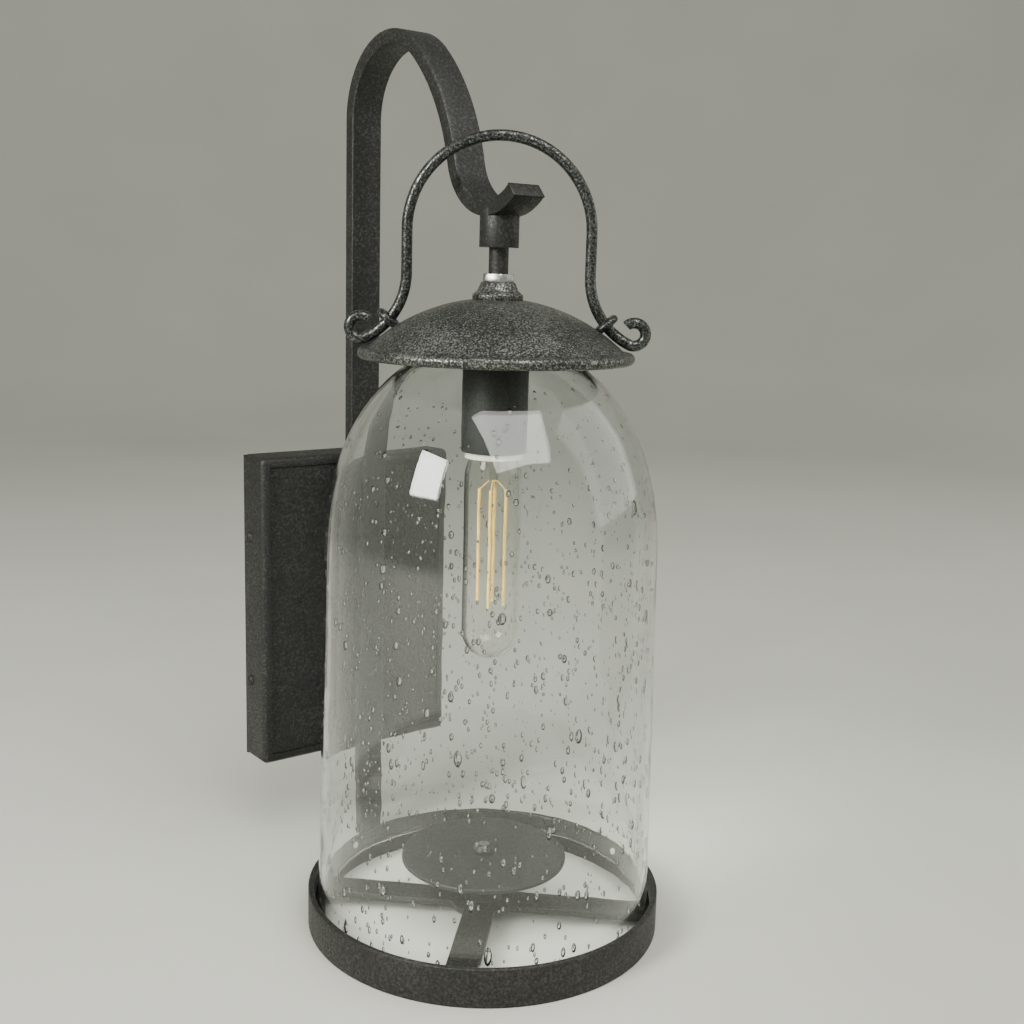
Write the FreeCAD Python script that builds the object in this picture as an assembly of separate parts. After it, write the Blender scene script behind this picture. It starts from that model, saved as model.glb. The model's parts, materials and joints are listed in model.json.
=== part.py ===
"""Outdoor wall lantern: canopy, strap arm with a hook, swivel stem, domed cap, bell glass and base ring.

Millimetres, +Z up. The wall is the plane y = 0, the lantern stands off towards -Y, and the origin
is the centre of the canopy on the wall. Each sub-part is written to parts/NODE.step.
"""
import FreeCAD, Part
import math
import os

Vector = FreeCAD.Vector
UP = Vector(0, 0, 1)
OUT = Vector(0, -1, 0)

# ---- general fits -----------------------------------------------------------------------------
RUN_GAP = 0.06          # radial clearance of a running fit
THREAD_GAP = 0.05       # radial clearance left round a screw in its threaded hole
CLEAR_GAP = 0.3         # radial clearance of a screw in a plain hole, and of a plug in its tube
PLAY = 0.15             # axial play of the swivel

# ---- canopy on the wall -----------------------------------------------------------------------
PLATE_W = 128.0
PLATE_H = 186.0
PLATE_D = 25.0
PLATE_WALL = 2.0
PLATE_FACE = 4.0        # thickness of the front before the panel's recess is cut
PLATE_EDGE_R = 3.5
PLATE_CORNER_R = 3.0
PANEL_BORDER = 5.5
PANEL_DEPTH = 2.2
PANEL_T = 1.4
GASKET_T = 1.5
GASKET_W = 6.0
BRACKET_T = 2.0
BRACKET_H = 116.0
EAR_H = 14.0
EAR_D = 12.0
SIDE_SCREW_Z = 44.0
SIDE_SCREW_Y = 8.0      # distance of the side screws from the wall
SIDE_SCREW_R = 2.0
SIDE_SCREW_HEAD_R = 3.4
BOX_SCREW_SPACING = 79.4
BOX_SLOT_LENGTH = 14.2
BOX_SLOT_R = 2.3
WIRE_OPENING_R = 11.0
WIRE_OPENING_X = 19.0   # the openings stand either side of the bracket's middle
GROUND_SCREW_X = 30.0
GROUND_SCREW_Z = 30.0

# ---- arm --------------------------------------------------------------------------------------
ARM_W = 19.0
ARM_T = 8.0
ARM_WALL = 1.2
ARM_EDGE_R = 0.7
ARCH_R = 40.5           # centreline radius of the arch
ARCH_TOP = 330.0        # highest point of the arm
ARCH_END = 50.0         # angle at which the arch opens to a wider arc
HOOK_R = 31.0           # centreline radius of the hook
HOOK_BOTTOM = 229.5     # lowest point of the hook's underside
HOOK_TIP_ANGLE = 42.0   # how far the tip turns up past the hook's lowest point
REACH = 162.0           # wall to the lantern's axis
ARM_SCREW_Z = 45.0
ARM_SCREW_R = 2.0
ARM_SCREW_HEAD_R = 3.8
NUT_BLOCK_T = 2.6
LEAD_R = 2.0
LEAD_ENTRY_Z = 66.0
LEAD_BEND_R = 12.0
BUSHING_R = 4.0

# ---- swivel and stem --------------------------------------------------------------------------
HOUSING_R = 10.0
HOUSING_H = 17.0
CHAMBER_R = 6.5
COLLAR_R = 7.4
COLLAR_T = 3.0
SWIVEL_RING_T = 4.0
SWIVEL_WASHER_T = 0.8
STEM_R = 5.0
STEM_BORE_R = 3.0
LEAD_SPLIT_BELOW = 8.0  # the two leads meet this far under the housing's top

# ---- heights of the lantern --------------------------------------------------------------------
FOOT_Z = -147.0         # the surface that the ring and the arm's tail stand on
CAP_APEX = 189.5
CAP_BALL_R = 95.4
CAP_SHEET = 1.2
CAP_FLAT_R = 14.0
CAP_RIM_R = 70.7
CAP_BEAD_R = 2.9
CAP_COLLAR_R = 13.0
CAP_COLLAR_H = 9.0
NUT_AF = 15.0
NUT_H = 4.0

# ---- bell glass --------------------------------------------------------------------------------
GLASS_FOOT_R = 90.2
GLASS_SHOULDER_R = 87.0
GLASS_SHOULDER_Z = 51.3
GLASS_DOME_H = 119.4    # height the dome would have if it ran to a point
GLASS_DOME_POWER = 2.35
GLASS_TOP_R = 28.0      # radius of the flat top
GLASS_T = 3.5
GLASS_HOLE_R = 8.0
GLASS_BEAD = 1.4
GLASS_BEAD_H = 3.0
SEAT_R = 27.0
SEAT_T = 2.0
WASHER_T = 1.0

# ---- lamp holder and bulb ----------------------------------------------------------------------
CUP_R = 17.0
CUP_T = 1.5
CUP_H = 50.0
SOCKET_R = 15.2
SOCKET_TOP_DROP = 11.0  # cup's top to the insulator's top
SOCKET_H = 42.0
SHELL_OUT_R = 13.6
SHELL_T = 0.45
SHELL_H = 28.0
CONTACT_R = 4.5
BULB_BASE_H = 25.0
BULB_R = 15.0
BULB_LENGTH = 139.0
BULB_NECK_R = 12.2
BULB_WALL = 0.8
FILAMENT_R = 0.9
FILAMENT_LENGTH = 62.0
FILAMENT_CIRCLE_R = 7.0
FILAMENT_COUNT = 4

# ---- base --------------------------------------------------------------------------------------
RING_R = 95.5
RING_H = 20.5
RING_WALL = 3.0
RING_EDGE = 0.8
SPOKE_W = 16.5
SPOKE_T = 4.0
SPOKE_TOP = 10.2        # spoke's top face above the foot
HUB_R = 18.0
DISC_R = 44.8
DISC_T = 2.5
DISC_TOP = 36.3         # disc's top face above the foot
POST_R = 7.0
ROD_R = 3.0
ROD_NUT_R = 5.5
ROD_NUT_H = 3.5
RING_SCREW_R = 2.0
RING_SCREW_DROP = 3.2   # ring's top edge to the screw's axis
PAD_R = 1.7
PAD_T = 0.9

# ---- bail --------------------------------------------------------------------------------------
WIRE_R = 2.8
BAIL_R = 46.5           # centreline radius of the arch
BAIL_LEG = 21.6         # straight leg under the arch
FLARE_R = 37.0
FLARE_TURN = 64.0
CURL_R = 5.8
CURL_TURN = 250.0
EYE_AT = 40.0           # how far round the flare the eye holds the wire
EYE_STAND = 5.3         # height of the eye's centre over the cap
EYE_WIRE_R = 2.0
EYE_GAP = 0.5
EYE_LEG = 6.0

# ---- how the pieces are turned about the lantern's axis ----------------------------------------
BAIL_ANGLE = -39.0      # bail's plane, from the wall's direction
SPOKE_ANGLE = -44.0
SCREW_ANGLE = 233.0     # first of the three ring screws

ring_top_z = FOOT_Z + RING_H
spoke_top_z = FOOT_Z + SPOKE_TOP
glass_foot_z = spoke_top_z + WASHER_T
cap_flat_z = CAP_APEX - CAP_BALL_R + math.sqrt(CAP_BALL_R ** 2 - CAP_FLAT_R ** 2)
eye_r = BAIL_R + FLARE_R * (1 - math.cos(math.radians(EYE_AT)))
cap_at_eye_z = CAP_APEX - CAP_BALL_R + math.sqrt(CAP_BALL_R ** 2 - eye_r ** 2)
bail_arch_z = cap_at_eye_z + EYE_STAND + FLARE_R * math.sin(math.radians(EYE_AT)) + BAIL_LEG
hook_centre_z = HOOK_BOTTOM + ARM_T / 2 + HOOK_R
arch_centre_z = ARCH_TOP - ARM_T / 2 - ARCH_R
stand_off = PLATE_D + ARM_T / 2

nodes = {}


# ---- small shape helpers -----------------------------------------------------------------------
def keep(name, *solids):
    """Store one sub-part; several solids make a group of identical pieces."""
    shapes = [solid for shape in solids for solid in shape.Solids]
    nodes[name] = shapes[0] if len(shapes) == 1 else Part.makeCompound(shapes)


def box(width, depth, height, centre):
    """Box given by its size and its centre."""
    corner = Vector(centre) - Vector(width / 2, depth / 2, height / 2)
    return Part.makeBox(width, depth, height, corner)


def rounded_box(width, depth, height, centre, radius):
    """Box whose four edges along Y are rounded."""
    body = box(width, depth, height, centre)
    along_y = [edge for edge in body.Edges if abs(edge.tangentAt(edge.FirstParameter).y) > 0.99]
    return body.makeFillet(radius, along_y)


def rod(radius, start, end):
    """Solid cylinder from one point to another."""
    axis = Vector(end) - Vector(start)
    return Part.makeCylinder(radius, axis.Length, Vector(start), axis)


def on_axis(radius, low, high, bore=0.0):
    """Upright cylinder or tube on the lantern's axis, between two heights."""
    shape = Part.makeCylinder(radius, high - low, Vector(0, -REACH, low))
    if bore:
        shape = shape.cut(Part.makeCylinder(bore, high - low + 2, Vector(0, -REACH, low - 1)))
    return shape


def hexagon(across_flats, low, high, bore):
    """Hexagon nut on the lantern's axis."""
    corner = across_flats / math.sqrt(3)
    points = [polar(corner, 60 * k, low) for k in range(7)]
    prism = Part.Face(Part.makePolygon(points)).extrude(UP * (high - low))
    chamfer_cone = Part.makeCone(corner, corner * 0.93, high - low, Vector(0, -REACH, low))
    return prism.common(chamfer_cone).cut(on_axis(bore, low - 1, high + 1))


def turned(wire):
    """Solid of revolution about the lantern's axis from a closed wire in the plane x = radius, y = 0."""
    solid = Part.Face(wire).revolve(Vector(0, 0, 0), UP, 360)
    solid.translate(Vector(0, -REACH, 0))
    return solid


def turned_points(points):
    """Solid of revolution from (radius, height) points."""
    corners = [Vector(radius, 0, height) for radius, height in points]
    return turned(Part.makePolygon(corners + corners[:1]))


def turn(shape, degrees):
    """Turn a shape about the lantern's axis."""
    turned_shape = shape.copy()
    turned_shape.rotate(Vector(0, -REACH, 0), UP, degrees)
    return turned_shape


def polar(radius, degrees, height):
    """Point at a radius and an angle round the lantern's axis."""
    angle = math.radians(degrees)
    return Vector(radius * math.cos(angle), radius * math.sin(angle) - REACH, height)


def arc(centre, radius, start, end, plane):
    """Arc edge in a plane given by two unit vectors, with its angles in degrees."""
    across, along = plane
    points = []
    for degrees in (start, (start + end) / 2, end):
        angle = math.radians(degrees)
        points.append(centre + across * (radius * math.cos(angle)) + along * (radius * math.sin(angle)))
    return Part.Arc(*points).toShape()


def line(start, end):
    """Straight edge."""
    return Part.LineSegment(start, end).toShape()


def wire_solid(path, radius):
    """Round wire swept along a smooth path."""
    first = path.Edges[0]
    start = first.valueAt(first.FirstParameter)
    heading = first.tangentAt(first.FirstParameter)
    disc = Part.Wire([Part.Circle(start, heading, radius).toShape()])
    return Part.Wire(path.Edges).makePipeShell([disc], True, False)


# ---- arm path: distances run out from the wall, in the plane x = 0 ------------------------------
def side(distance, height, x=0.0):
    """Point of the arm's side view."""
    return Vector(x, -distance, height)


ARM_PLANE = (OUT, UP)
arch_centre = (stand_off + ARCH_R, arch_centre_z)
hook_centre = (REACH, hook_centre_z)


def arm_fall():
    """Centre and radius of the arc that falls from the arch to the hook, and its slope at the hook."""
    run = hook_centre[0] - arch_centre[0]
    rise = hook_centre[1] - arch_centre[1]
    leave = (math.cos(math.radians(ARCH_END)), math.sin(math.radians(ARCH_END)))
    both = ARCH_R + HOOK_R
    along = run * leave[0] + rise * leave[1]
    shift = (run ** 2 + rise ** 2 - both ** 2) / (2 * (both - along))
    centre = (arch_centre[0] - shift * leave[0], arch_centre[1] - shift * leave[1])
    meeting = math.atan2(hook_centre[1] - centre[1], hook_centre[0] - centre[0])
    return centre, ARCH_R + shift, 90 - math.degrees(meeting)


fall_centre, FALL_R, ARM_FALL = arm_fall()


def arm_edges(offset, x, tail_z, tip_angle):
    """Edges of a line that follows the arm's centreline at an offset, from its tail to its tip."""
    arch = arc(side(*arch_centre, x), ARCH_R + offset, 180, ARCH_END, ARM_PLANE)
    fall = arc(side(*fall_centre, x), FALL_R + offset, ARCH_END, 90 - ARM_FALL, ARM_PLANE)
    hook = arc(side(*hook_centre, x), HOOK_R - offset, 270 - ARM_FALL, 270 + tip_angle, ARM_PLANE)
    tail = line(side(stand_off - offset, tail_z, x), arch.Vertexes[0].Point)
    return [tail, arch, fall, hook]


def arm_bar(half, width, tail_z, tip_angle):
    """Bar of rectangular section along the arm."""
    outer = arm_edges(half, -width / 2, tail_z, tip_angle)
    inner = arm_edges(-half, -width / 2, tail_z, tip_angle)
    ends = [line(outer[0].Vertexes[0].Point, inner[0].Vertexes[0].Point),
            line(outer[-1].Vertexes[-1].Point, inner[-1].Vertexes[-1].Point)]
    outline = Part.Wire(Part.__sortEdges__(outer + inner + ends))
    return Part.Face(outline).extrude(Vector(width, 0, 0))


# ---- bail path: in the plane of its own, x across and z up, mirrored about the axis --------------
def bail_side(hand):
    """Edges of one side of the bail, from the top of its arch to the tip of its curl."""
    across = Vector(hand, 0, 0)
    plane = (across, UP)
    middle = Vector(0, 0, bail_arch_z)
    arch = arc(middle, BAIL_R, 90, 0, plane)
    knee = middle + across * BAIL_R - UP * BAIL_LEG
    leg = line(middle + across * BAIL_R, knee)
    flare_centre = knee + across * FLARE_R
    flare = arc(flare_centre, FLARE_R, 180, 180 + FLARE_TURN, plane)
    toward = math.radians(180 + FLARE_TURN)
    curl_centre = flare_centre + (across * math.cos(toward) + UP * math.sin(toward)) * (FLARE_R - CURL_R)
    curl = arc(curl_centre, CURL_R, 180 + FLARE_TURN, 180 + FLARE_TURN + CURL_TURN, plane)
    return [arch, leg, flare, curl]


def flare_point(hand, degrees):
    """Point on the bail's flare and the wire's direction there."""
    across = Vector(hand, 0, 0)
    angle = math.radians(180 + degrees)
    centre = across * (BAIL_R + FLARE_R) + UP * (bail_arch_z - BAIL_LEG)
    point = centre + (across * math.cos(angle) + UP * math.sin(angle)) * FLARE_R
    heading = across * (-math.sin(angle)) + UP * math.cos(angle)
    return point, heading


def place_bail(shape):
    """Move a shape from the bail's own plane to the lantern's axis and turn it."""
    placed = shape.copy()
    placed.translate(Vector(0, -REACH, 0))
    return turn(placed, BAIL_ANGLE)


# ---- canopy -------------------------------------------------------------------------------------
def canopy():
    """Hollow back plate with a recessed panel, its wall gasket and the bracket inside it."""
    depth = PLATE_D - GASKET_T
    middle_y = -GASKET_T - depth / 2
    body = rounded_box(PLATE_W, depth, PLATE_H, (0, middle_y, 0), PLATE_CORNER_R)
    front = [edge for edge in body.Edges if edge.BoundBox.YMax < -PLATE_D + 0.01]
    body = body.makeFillet(PLATE_EDGE_R, front)
    hollow_d = depth - PLATE_FACE
    hollow = box(PLATE_W - 2 * PLATE_WALL, hollow_d, PLATE_H - 2 * PLATE_WALL,
                 (0, -GASKET_T - hollow_d / 2, 0))
    panel_w = PLATE_W - 2 * PANEL_BORDER
    panel_h = PLATE_H - 2 * PANEL_BORDER
    recess = box(panel_w, PANEL_DEPTH, panel_h, (0, -PLATE_D + PANEL_DEPTH / 2, 0))
    panel_y = -PLATE_D + PANEL_DEPTH - PANEL_T / 2
    panel = box(panel_w - 0.4, PANEL_T, panel_h - 0.4, (0, panel_y, 0))
    # The arm lies in a notch of the panel, hard on the plate.
    pad_h = 2 * ARM_SCREW_Z + 4 * ARM_SCREW_HEAD_R + 2 * (LEAD_ENTRY_Z - ARM_SCREW_Z)
    pad = box(ARM_W, PANEL_DEPTH, pad_h, (0, -PLATE_D + PANEL_DEPTH / 2, 0))
    body = body.cut(hollow).cut(recess).fuse(pad).removeSplitter()
    panel = panel.cut(box(ARM_W + 0.4, PANEL_DEPTH * 2, pad_h + 0.4, (0, -PLATE_D, 0)))
    through = [rod(ARM_SCREW_R + CLEAR_GAP, (0, 0, z), (0, -PLATE_D - 1, z))
               for z in (-ARM_SCREW_Z, ARM_SCREW_Z)]
    through.append(rod(BUSHING_R, (0, 0, LEAD_ENTRY_Z), (0, -PLATE_D - 1, LEAD_ENTRY_Z)))
    for hand in (-1, 1):
        for z in (-SIDE_SCREW_Z, SIDE_SCREW_Z):
            edge_x = hand * (PLATE_W / 2 + 1)
            through.append(rod(SIDE_SCREW_R + CLEAR_GAP, (hand * (PLATE_W / 2 - 5), -SIDE_SCREW_Y, z),
                               (edge_x, -SIDE_SCREW_Y, z)))
    for cutter in through:
        body = body.cut(cutter)
    keep("back_plate", body)
    keep("front_panel", panel)
    rim = box(PLATE_W - 1, GASKET_T, PLATE_H - 1, (0, -GASKET_T / 2, 0))
    keep("wall_gasket", rim.cut(box(PLATE_W - 1 - 2 * GASKET_W, GASKET_T * 2, PLATE_H - 1 - 2 * GASKET_W,
                                    (0, -GASKET_T / 2, 0))))


def bracket():
    """Flat bracket that screws to the outlet box, with four ears that take the side screws."""
    ear_x = PLATE_W / 2 - PLATE_WALL - CLEAR_GAP
    inside_w = PLATE_W - 1 - 2 * GASKET_W - 2 * CLEAR_GAP
    plate = box(inside_w, BRACKET_T, BRACKET_H, (0, -BRACKET_T / 2, 0))
    slot_run = BOX_SLOT_LENGTH - 2 * BOX_SLOT_R
    cuts = [rod(SIDE_SCREW_R + THREAD_GAP, (GROUND_SCREW_X, 1, GROUND_SCREW_Z),
                (GROUND_SCREW_X, -BRACKET_T - 1, GROUND_SCREW_Z))]
    for hand in (-1, 1):
        opening_x = hand * WIRE_OPENING_X
        cuts.append(rod(WIRE_OPENING_R, (opening_x, 1, 0), (opening_x, -BRACKET_T - 1, 0)))
        middle = hand * BOX_SCREW_SPACING / 2
        cuts.append(box(slot_run, BRACKET_T * 3, 2 * BOX_SLOT_R, (middle, 0, 0)))
        for end in (-1, 1):
            x = middle + end * slot_run / 2
            cuts.append(rod(BOX_SLOT_R, (x, 3, 0), (x, -BRACKET_T * 2, 0)))
    for hand in (-1, 1):
        for z in (-SIDE_SCREW_Z, SIDE_SCREW_Z):
            step_y = GASKET_T + CLEAR_GAP
            foot = box(ear_x - inside_w / 2 + BRACKET_T, BRACKET_T, EAR_H,
                       (hand * (ear_x + inside_w / 2 - BRACKET_T) / 2, -step_y - BRACKET_T / 2, z))
            ear = box(BRACKET_T, EAR_D - step_y, EAR_H,
                      (hand * (ear_x - BRACKET_T / 2), -(EAR_D + step_y) / 2, z))
            plate = plate.fuse(foot).fuse(ear)
            cuts.append(rod(SIDE_SCREW_R + THREAD_GAP, (hand * (ear_x - 4), -SIDE_SCREW_Y, z),
                            (hand * (ear_x + 1), -SIDE_SCREW_Y, z)))
    for cutter in cuts:
        plate = plate.cut(cutter)
    keep("mounting_bracket", plate.removeSplitter())
    screws = []
    for hand in (-1, 1):
        for z in (-SIDE_SCREW_Z, SIDE_SCREW_Z):
            face = hand * PLATE_W / 2
            shank = rod(SIDE_SCREW_R, (hand * (ear_x - 4), -SIDE_SCREW_Y, z), (face, -SIDE_SCREW_Y, z))
            head = Part.makeCone(SIDE_SCREW_HEAD_R, SIDE_SCREW_HEAD_R * 0.75, 1.4,
                                 Vector(face, -SIDE_SCREW_Y, z), Vector(hand, 0, 0))
            slot = box(2.0, 0.9, 2.2 * SIDE_SCREW_HEAD_R, (face + hand * 1.9, -SIDE_SCREW_Y, z))
            screws.append(shank.fuse(head).cut(slot))
    keep("canopy_screws", *screws)
    ground_at = Vector(GROUND_SCREW_X, -BRACKET_T, GROUND_SCREW_Z)
    ground = Part.makeCylinder(SIDE_SCREW_HEAD_R, 2.0, ground_at, OUT)
    shank = rod(SIDE_SCREW_R, (GROUND_SCREW_X, 0, GROUND_SCREW_Z), ground_at)
    keep("ground_screw", ground.fuse(shank))


# ---- arm ----------------------------------------------------------------------------------------
def arm():
    """Hollow strap arm with its plugs, screws, nut blocks, bushing, lead and terminal block."""
    half = ARM_T / 2
    bore = half - ARM_WALL
    cap_t = 1.0
    tail_z = FOOT_Z + cap_t
    outer = arm_bar(half, ARM_W, tail_z, HOOK_TIP_ANGLE)
    long_edges = [edge for edge in outer.Edges if abs(abs(edge.BoundBox.Center.x) - ARM_W / 2) < 1e-6
                  and edge.BoundBox.XLength < 1e-6 and edge.Length > 2 * ARM_T]
    outer = outer.makeFillet(ARM_EDGE_R, long_edges)
    tube = outer.cut(arm_bar(bore, ARM_W - 2 * ARM_WALL, tail_z, HOOK_TIP_ANGLE))
    for z in (-ARM_SCREW_Z, ARM_SCREW_Z):
        tube = tube.cut(rod(ARM_SCREW_R + CLEAR_GAP, (0, -PLATE_D + 1, z), (0, -stand_off, z)))
    tube = tube.cut(rod(BUSHING_R, (0, -PLATE_D + 1, LEAD_ENTRY_Z), (0, -stand_off, LEAD_ENTRY_Z)))
    tube = tube.cut(on_axis(CHAMBER_R, HOOK_BOTTOM - 5, hook_centre_z - HOOK_R))
    keep("arm", tube)
    solid_arm = arm_bar(half, ARM_W, tail_z, HOOK_TIP_ANGLE)
    keep("arm_tail_plug", box(ARM_W, ARM_T, cap_t, (0, -stand_off, tail_z - cap_t / 2)).fuse(
        box(ARM_W - 2 * ARM_WALL - 0.4, ARM_T - 2 * ARM_WALL - 0.4, 8, (0, -stand_off, tail_z + 4 - 0.01))))
    plug = box(ARM_W, ARM_T, cap_t, (0, 0, cap_t / 2)).fuse(
        box(ARM_W - 2 * ARM_WALL - 0.4, ARM_T - 2 * ARM_WALL - 0.8, 4, (0, 0, -2 + 0.01)))
    plug.rotate(Vector(0, 0, 0), Vector(1, 0, 0), 90 - HOOK_TIP_ANGLE)
    tip = arm_edges(0, 0, tail_z, HOOK_TIP_ANGLE)[-1].Vertexes[-1].Point
    plug.translate(tip)
    keep("arm_tip_plug", plug)
    screws = []
    blocks = []
    inner_face = PLATE_D - PLATE_FACE
    wall_inside = PLATE_D + ARM_WALL
    for z in (-ARM_SCREW_Z, ARM_SCREW_Z):
        head = Part.makeCylinder(ARM_SCREW_HEAD_R, 2.6, Vector(0, -inner_face + 2.6, z), OUT)
        shank = rod(ARM_SCREW_R, (0, -inner_face, z), (0, -wall_inside - NUT_BLOCK_T, z))
        screws.append(head.fuse(shank))
        block = box(ARM_W - 2 * ARM_WALL - 0.4, NUT_BLOCK_T, 16, (0, -wall_inside - NUT_BLOCK_T / 2, z))
        blocks.append(block.cut(rod(ARM_SCREW_R + THREAD_GAP, (0, 0, z), (0, -stand_off - half, z))))
    keep("arm_screws", *screws)
    keep("arm_nut_blocks", *blocks)
    sleeve = rod(BUSHING_R, (0, -inner_face, LEAD_ENTRY_Z), (0, -wall_inside, LEAD_ENTRY_Z))
    lip = rod(BUSHING_R + 1.6, (0, -inner_face + 1.2, LEAD_ENTRY_Z), (0, -inner_face, LEAD_ENTRY_Z))
    lead_hole = rod(LEAD_R + 3 * CLEAR_GAP, (0, 0, LEAD_ENTRY_Z), (0, -PLATE_D - 5, LEAD_ENTRY_Z))
    keep("wire_bushing", sleeve.fuse(lip).cut(lead_hole))
    return solid_arm


def leads():
    """Lead from the terminal block through the bushing, up the arm and down into the swivel."""
    split_z = HOOK_BOTTOM + ARM_T / 2 - LEAD_SPLIT_BELOW
    block_y = 10.0
    entry_r = 5.0
    start = Vector(0, -block_y, LEAD_ENTRY_Z)
    turn_in = Vector(0, -stand_off + entry_r, LEAD_ENTRY_Z)
    rise_from = Vector(0, -stand_off, LEAD_ENTRY_Z + entry_r)
    first = arc(Vector(0, -stand_off + entry_r, LEAD_ENTRY_Z + entry_r), entry_r, 270, 360, ARM_PLANE)
    arm_line = arm_edges(0, 0, 0, 0)
    arch, fall = arm_line[1], arm_line[2]
    # The lead leaves the hook's centreline where its last bend down the axis begins.
    back = 24.0
    hook_start = 270 - ARM_FALL
    hook_end = 270 - back
    hook = arc(side(*hook_centre), HOOK_R, hook_start, hook_end, ARM_PLANE)
    leave = hook.Vertexes[-1].Point
    heading = math.radians(-back)
    reach_left = REACH + leave.y
    corner_z = leave.z + reach_left * math.tan(heading)
    turn_angle = 90 - back
    tangent = LEAD_BEND_R * math.tan(math.radians(turn_angle / 2))
    corner = Vector(0, -REACH, corner_z)
    along = OUT * math.cos(heading) + UP * math.sin(heading)
    bend_start = corner - along * tangent
    bend_end = corner - UP * tangent
    bend_centre = Vector(0, -REACH + LEAD_BEND_R, bend_end.z)
    middle_angle = math.radians(turn_angle / 2)
    bend_middle = bend_centre + OUT * (LEAD_BEND_R * math.cos(middle_angle)) + UP * (
        LEAD_BEND_R * math.sin(middle_angle))
    bend = Part.Arc(bend_start, bend_middle, bend_end).toShape()
    edges = [line(start, turn_in), first, line(rise_from, arch.Vertexes[0].Point), arch, fall, hook,
             line(leave, bend_start), bend, line(bend_end, Vector(0, -REACH, split_z))]
    path = Part.Wire(edges)
    lead = wire_solid(path, LEAD_R)
    expected = path.Length * math.pi * LEAD_R ** 2
    print("lead length %.1f mm, volume %.0f, expected %.0f, bends %.1f and %.1f mm" % (
        path.Length, lead.Volume, expected, entry_r, LEAD_BEND_R))
    keep("lead_arm", lead)
    terminal = box(20, 9, 14, (0, -block_y + 4.5, LEAD_ENTRY_Z))
    keep("terminal_block", terminal.cut(box(4, 10, 3, (-5, -block_y + 4.5, LEAD_ENTRY_Z + 7))).cut(
        box(4, 10, 3, (5, -block_y + 4.5, LEAD_ENTRY_Z + 7))))
    cup_top = glass_top() - GLASS_T - WASHER_T
    keep("lead_stem", on_axis(LEAD_R, cup_top - SOCKET_TOP_DROP, split_z))
    return split_z


# ---- swivel -------------------------------------------------------------------------------------
def swivel(solid_arm):
    """Housing under the hook, the stem that turns in it, and the ring nut that keeps the stem in."""
    top = HOOK_BOTTOM + ARM_T / 2
    low = HOOK_BOTTOM - HOUSING_H + 2
    pocket_top = low + SWIVEL_RING_T + SWIVEL_WASHER_T + COLLAR_T + PLAY
    pocket_r = COLLAR_R + RUN_GAP
    housing = on_axis(HOUSING_R, low, top).cut(on_axis(pocket_r, low - 1, pocket_top))
    housing = housing.cut(on_axis(CHAMBER_R, low, top + 1)).cut(solid_arm)
    keep("swivel_housing", max(housing.Solids, key=lambda solid: solid.Volume))
    keep("swivel_ring", on_axis(pocket_r - THREAD_GAP, low, low + SWIVEL_RING_T, STEM_R + RUN_GAP))
    washer_low = low + SWIVEL_RING_T
    collar_low = washer_low + SWIVEL_WASHER_T
    keep("swivel_washer", on_axis(COLLAR_R - CLEAR_GAP, washer_low, collar_low, STEM_R + RUN_GAP))
    stem_low = glass_top() - GLASS_T - WASHER_T - CUP_T - NUT_H - 2
    stem_top = collar_low + COLLAR_T
    stem = on_axis(STEM_R, stem_low, stem_top).fuse(on_axis(COLLAR_R, collar_low, stem_top))
    keep("stem", stem.cut(on_axis(STEM_BORE_R, stem_low - 1, stem_top + 1)).removeSplitter())


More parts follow.
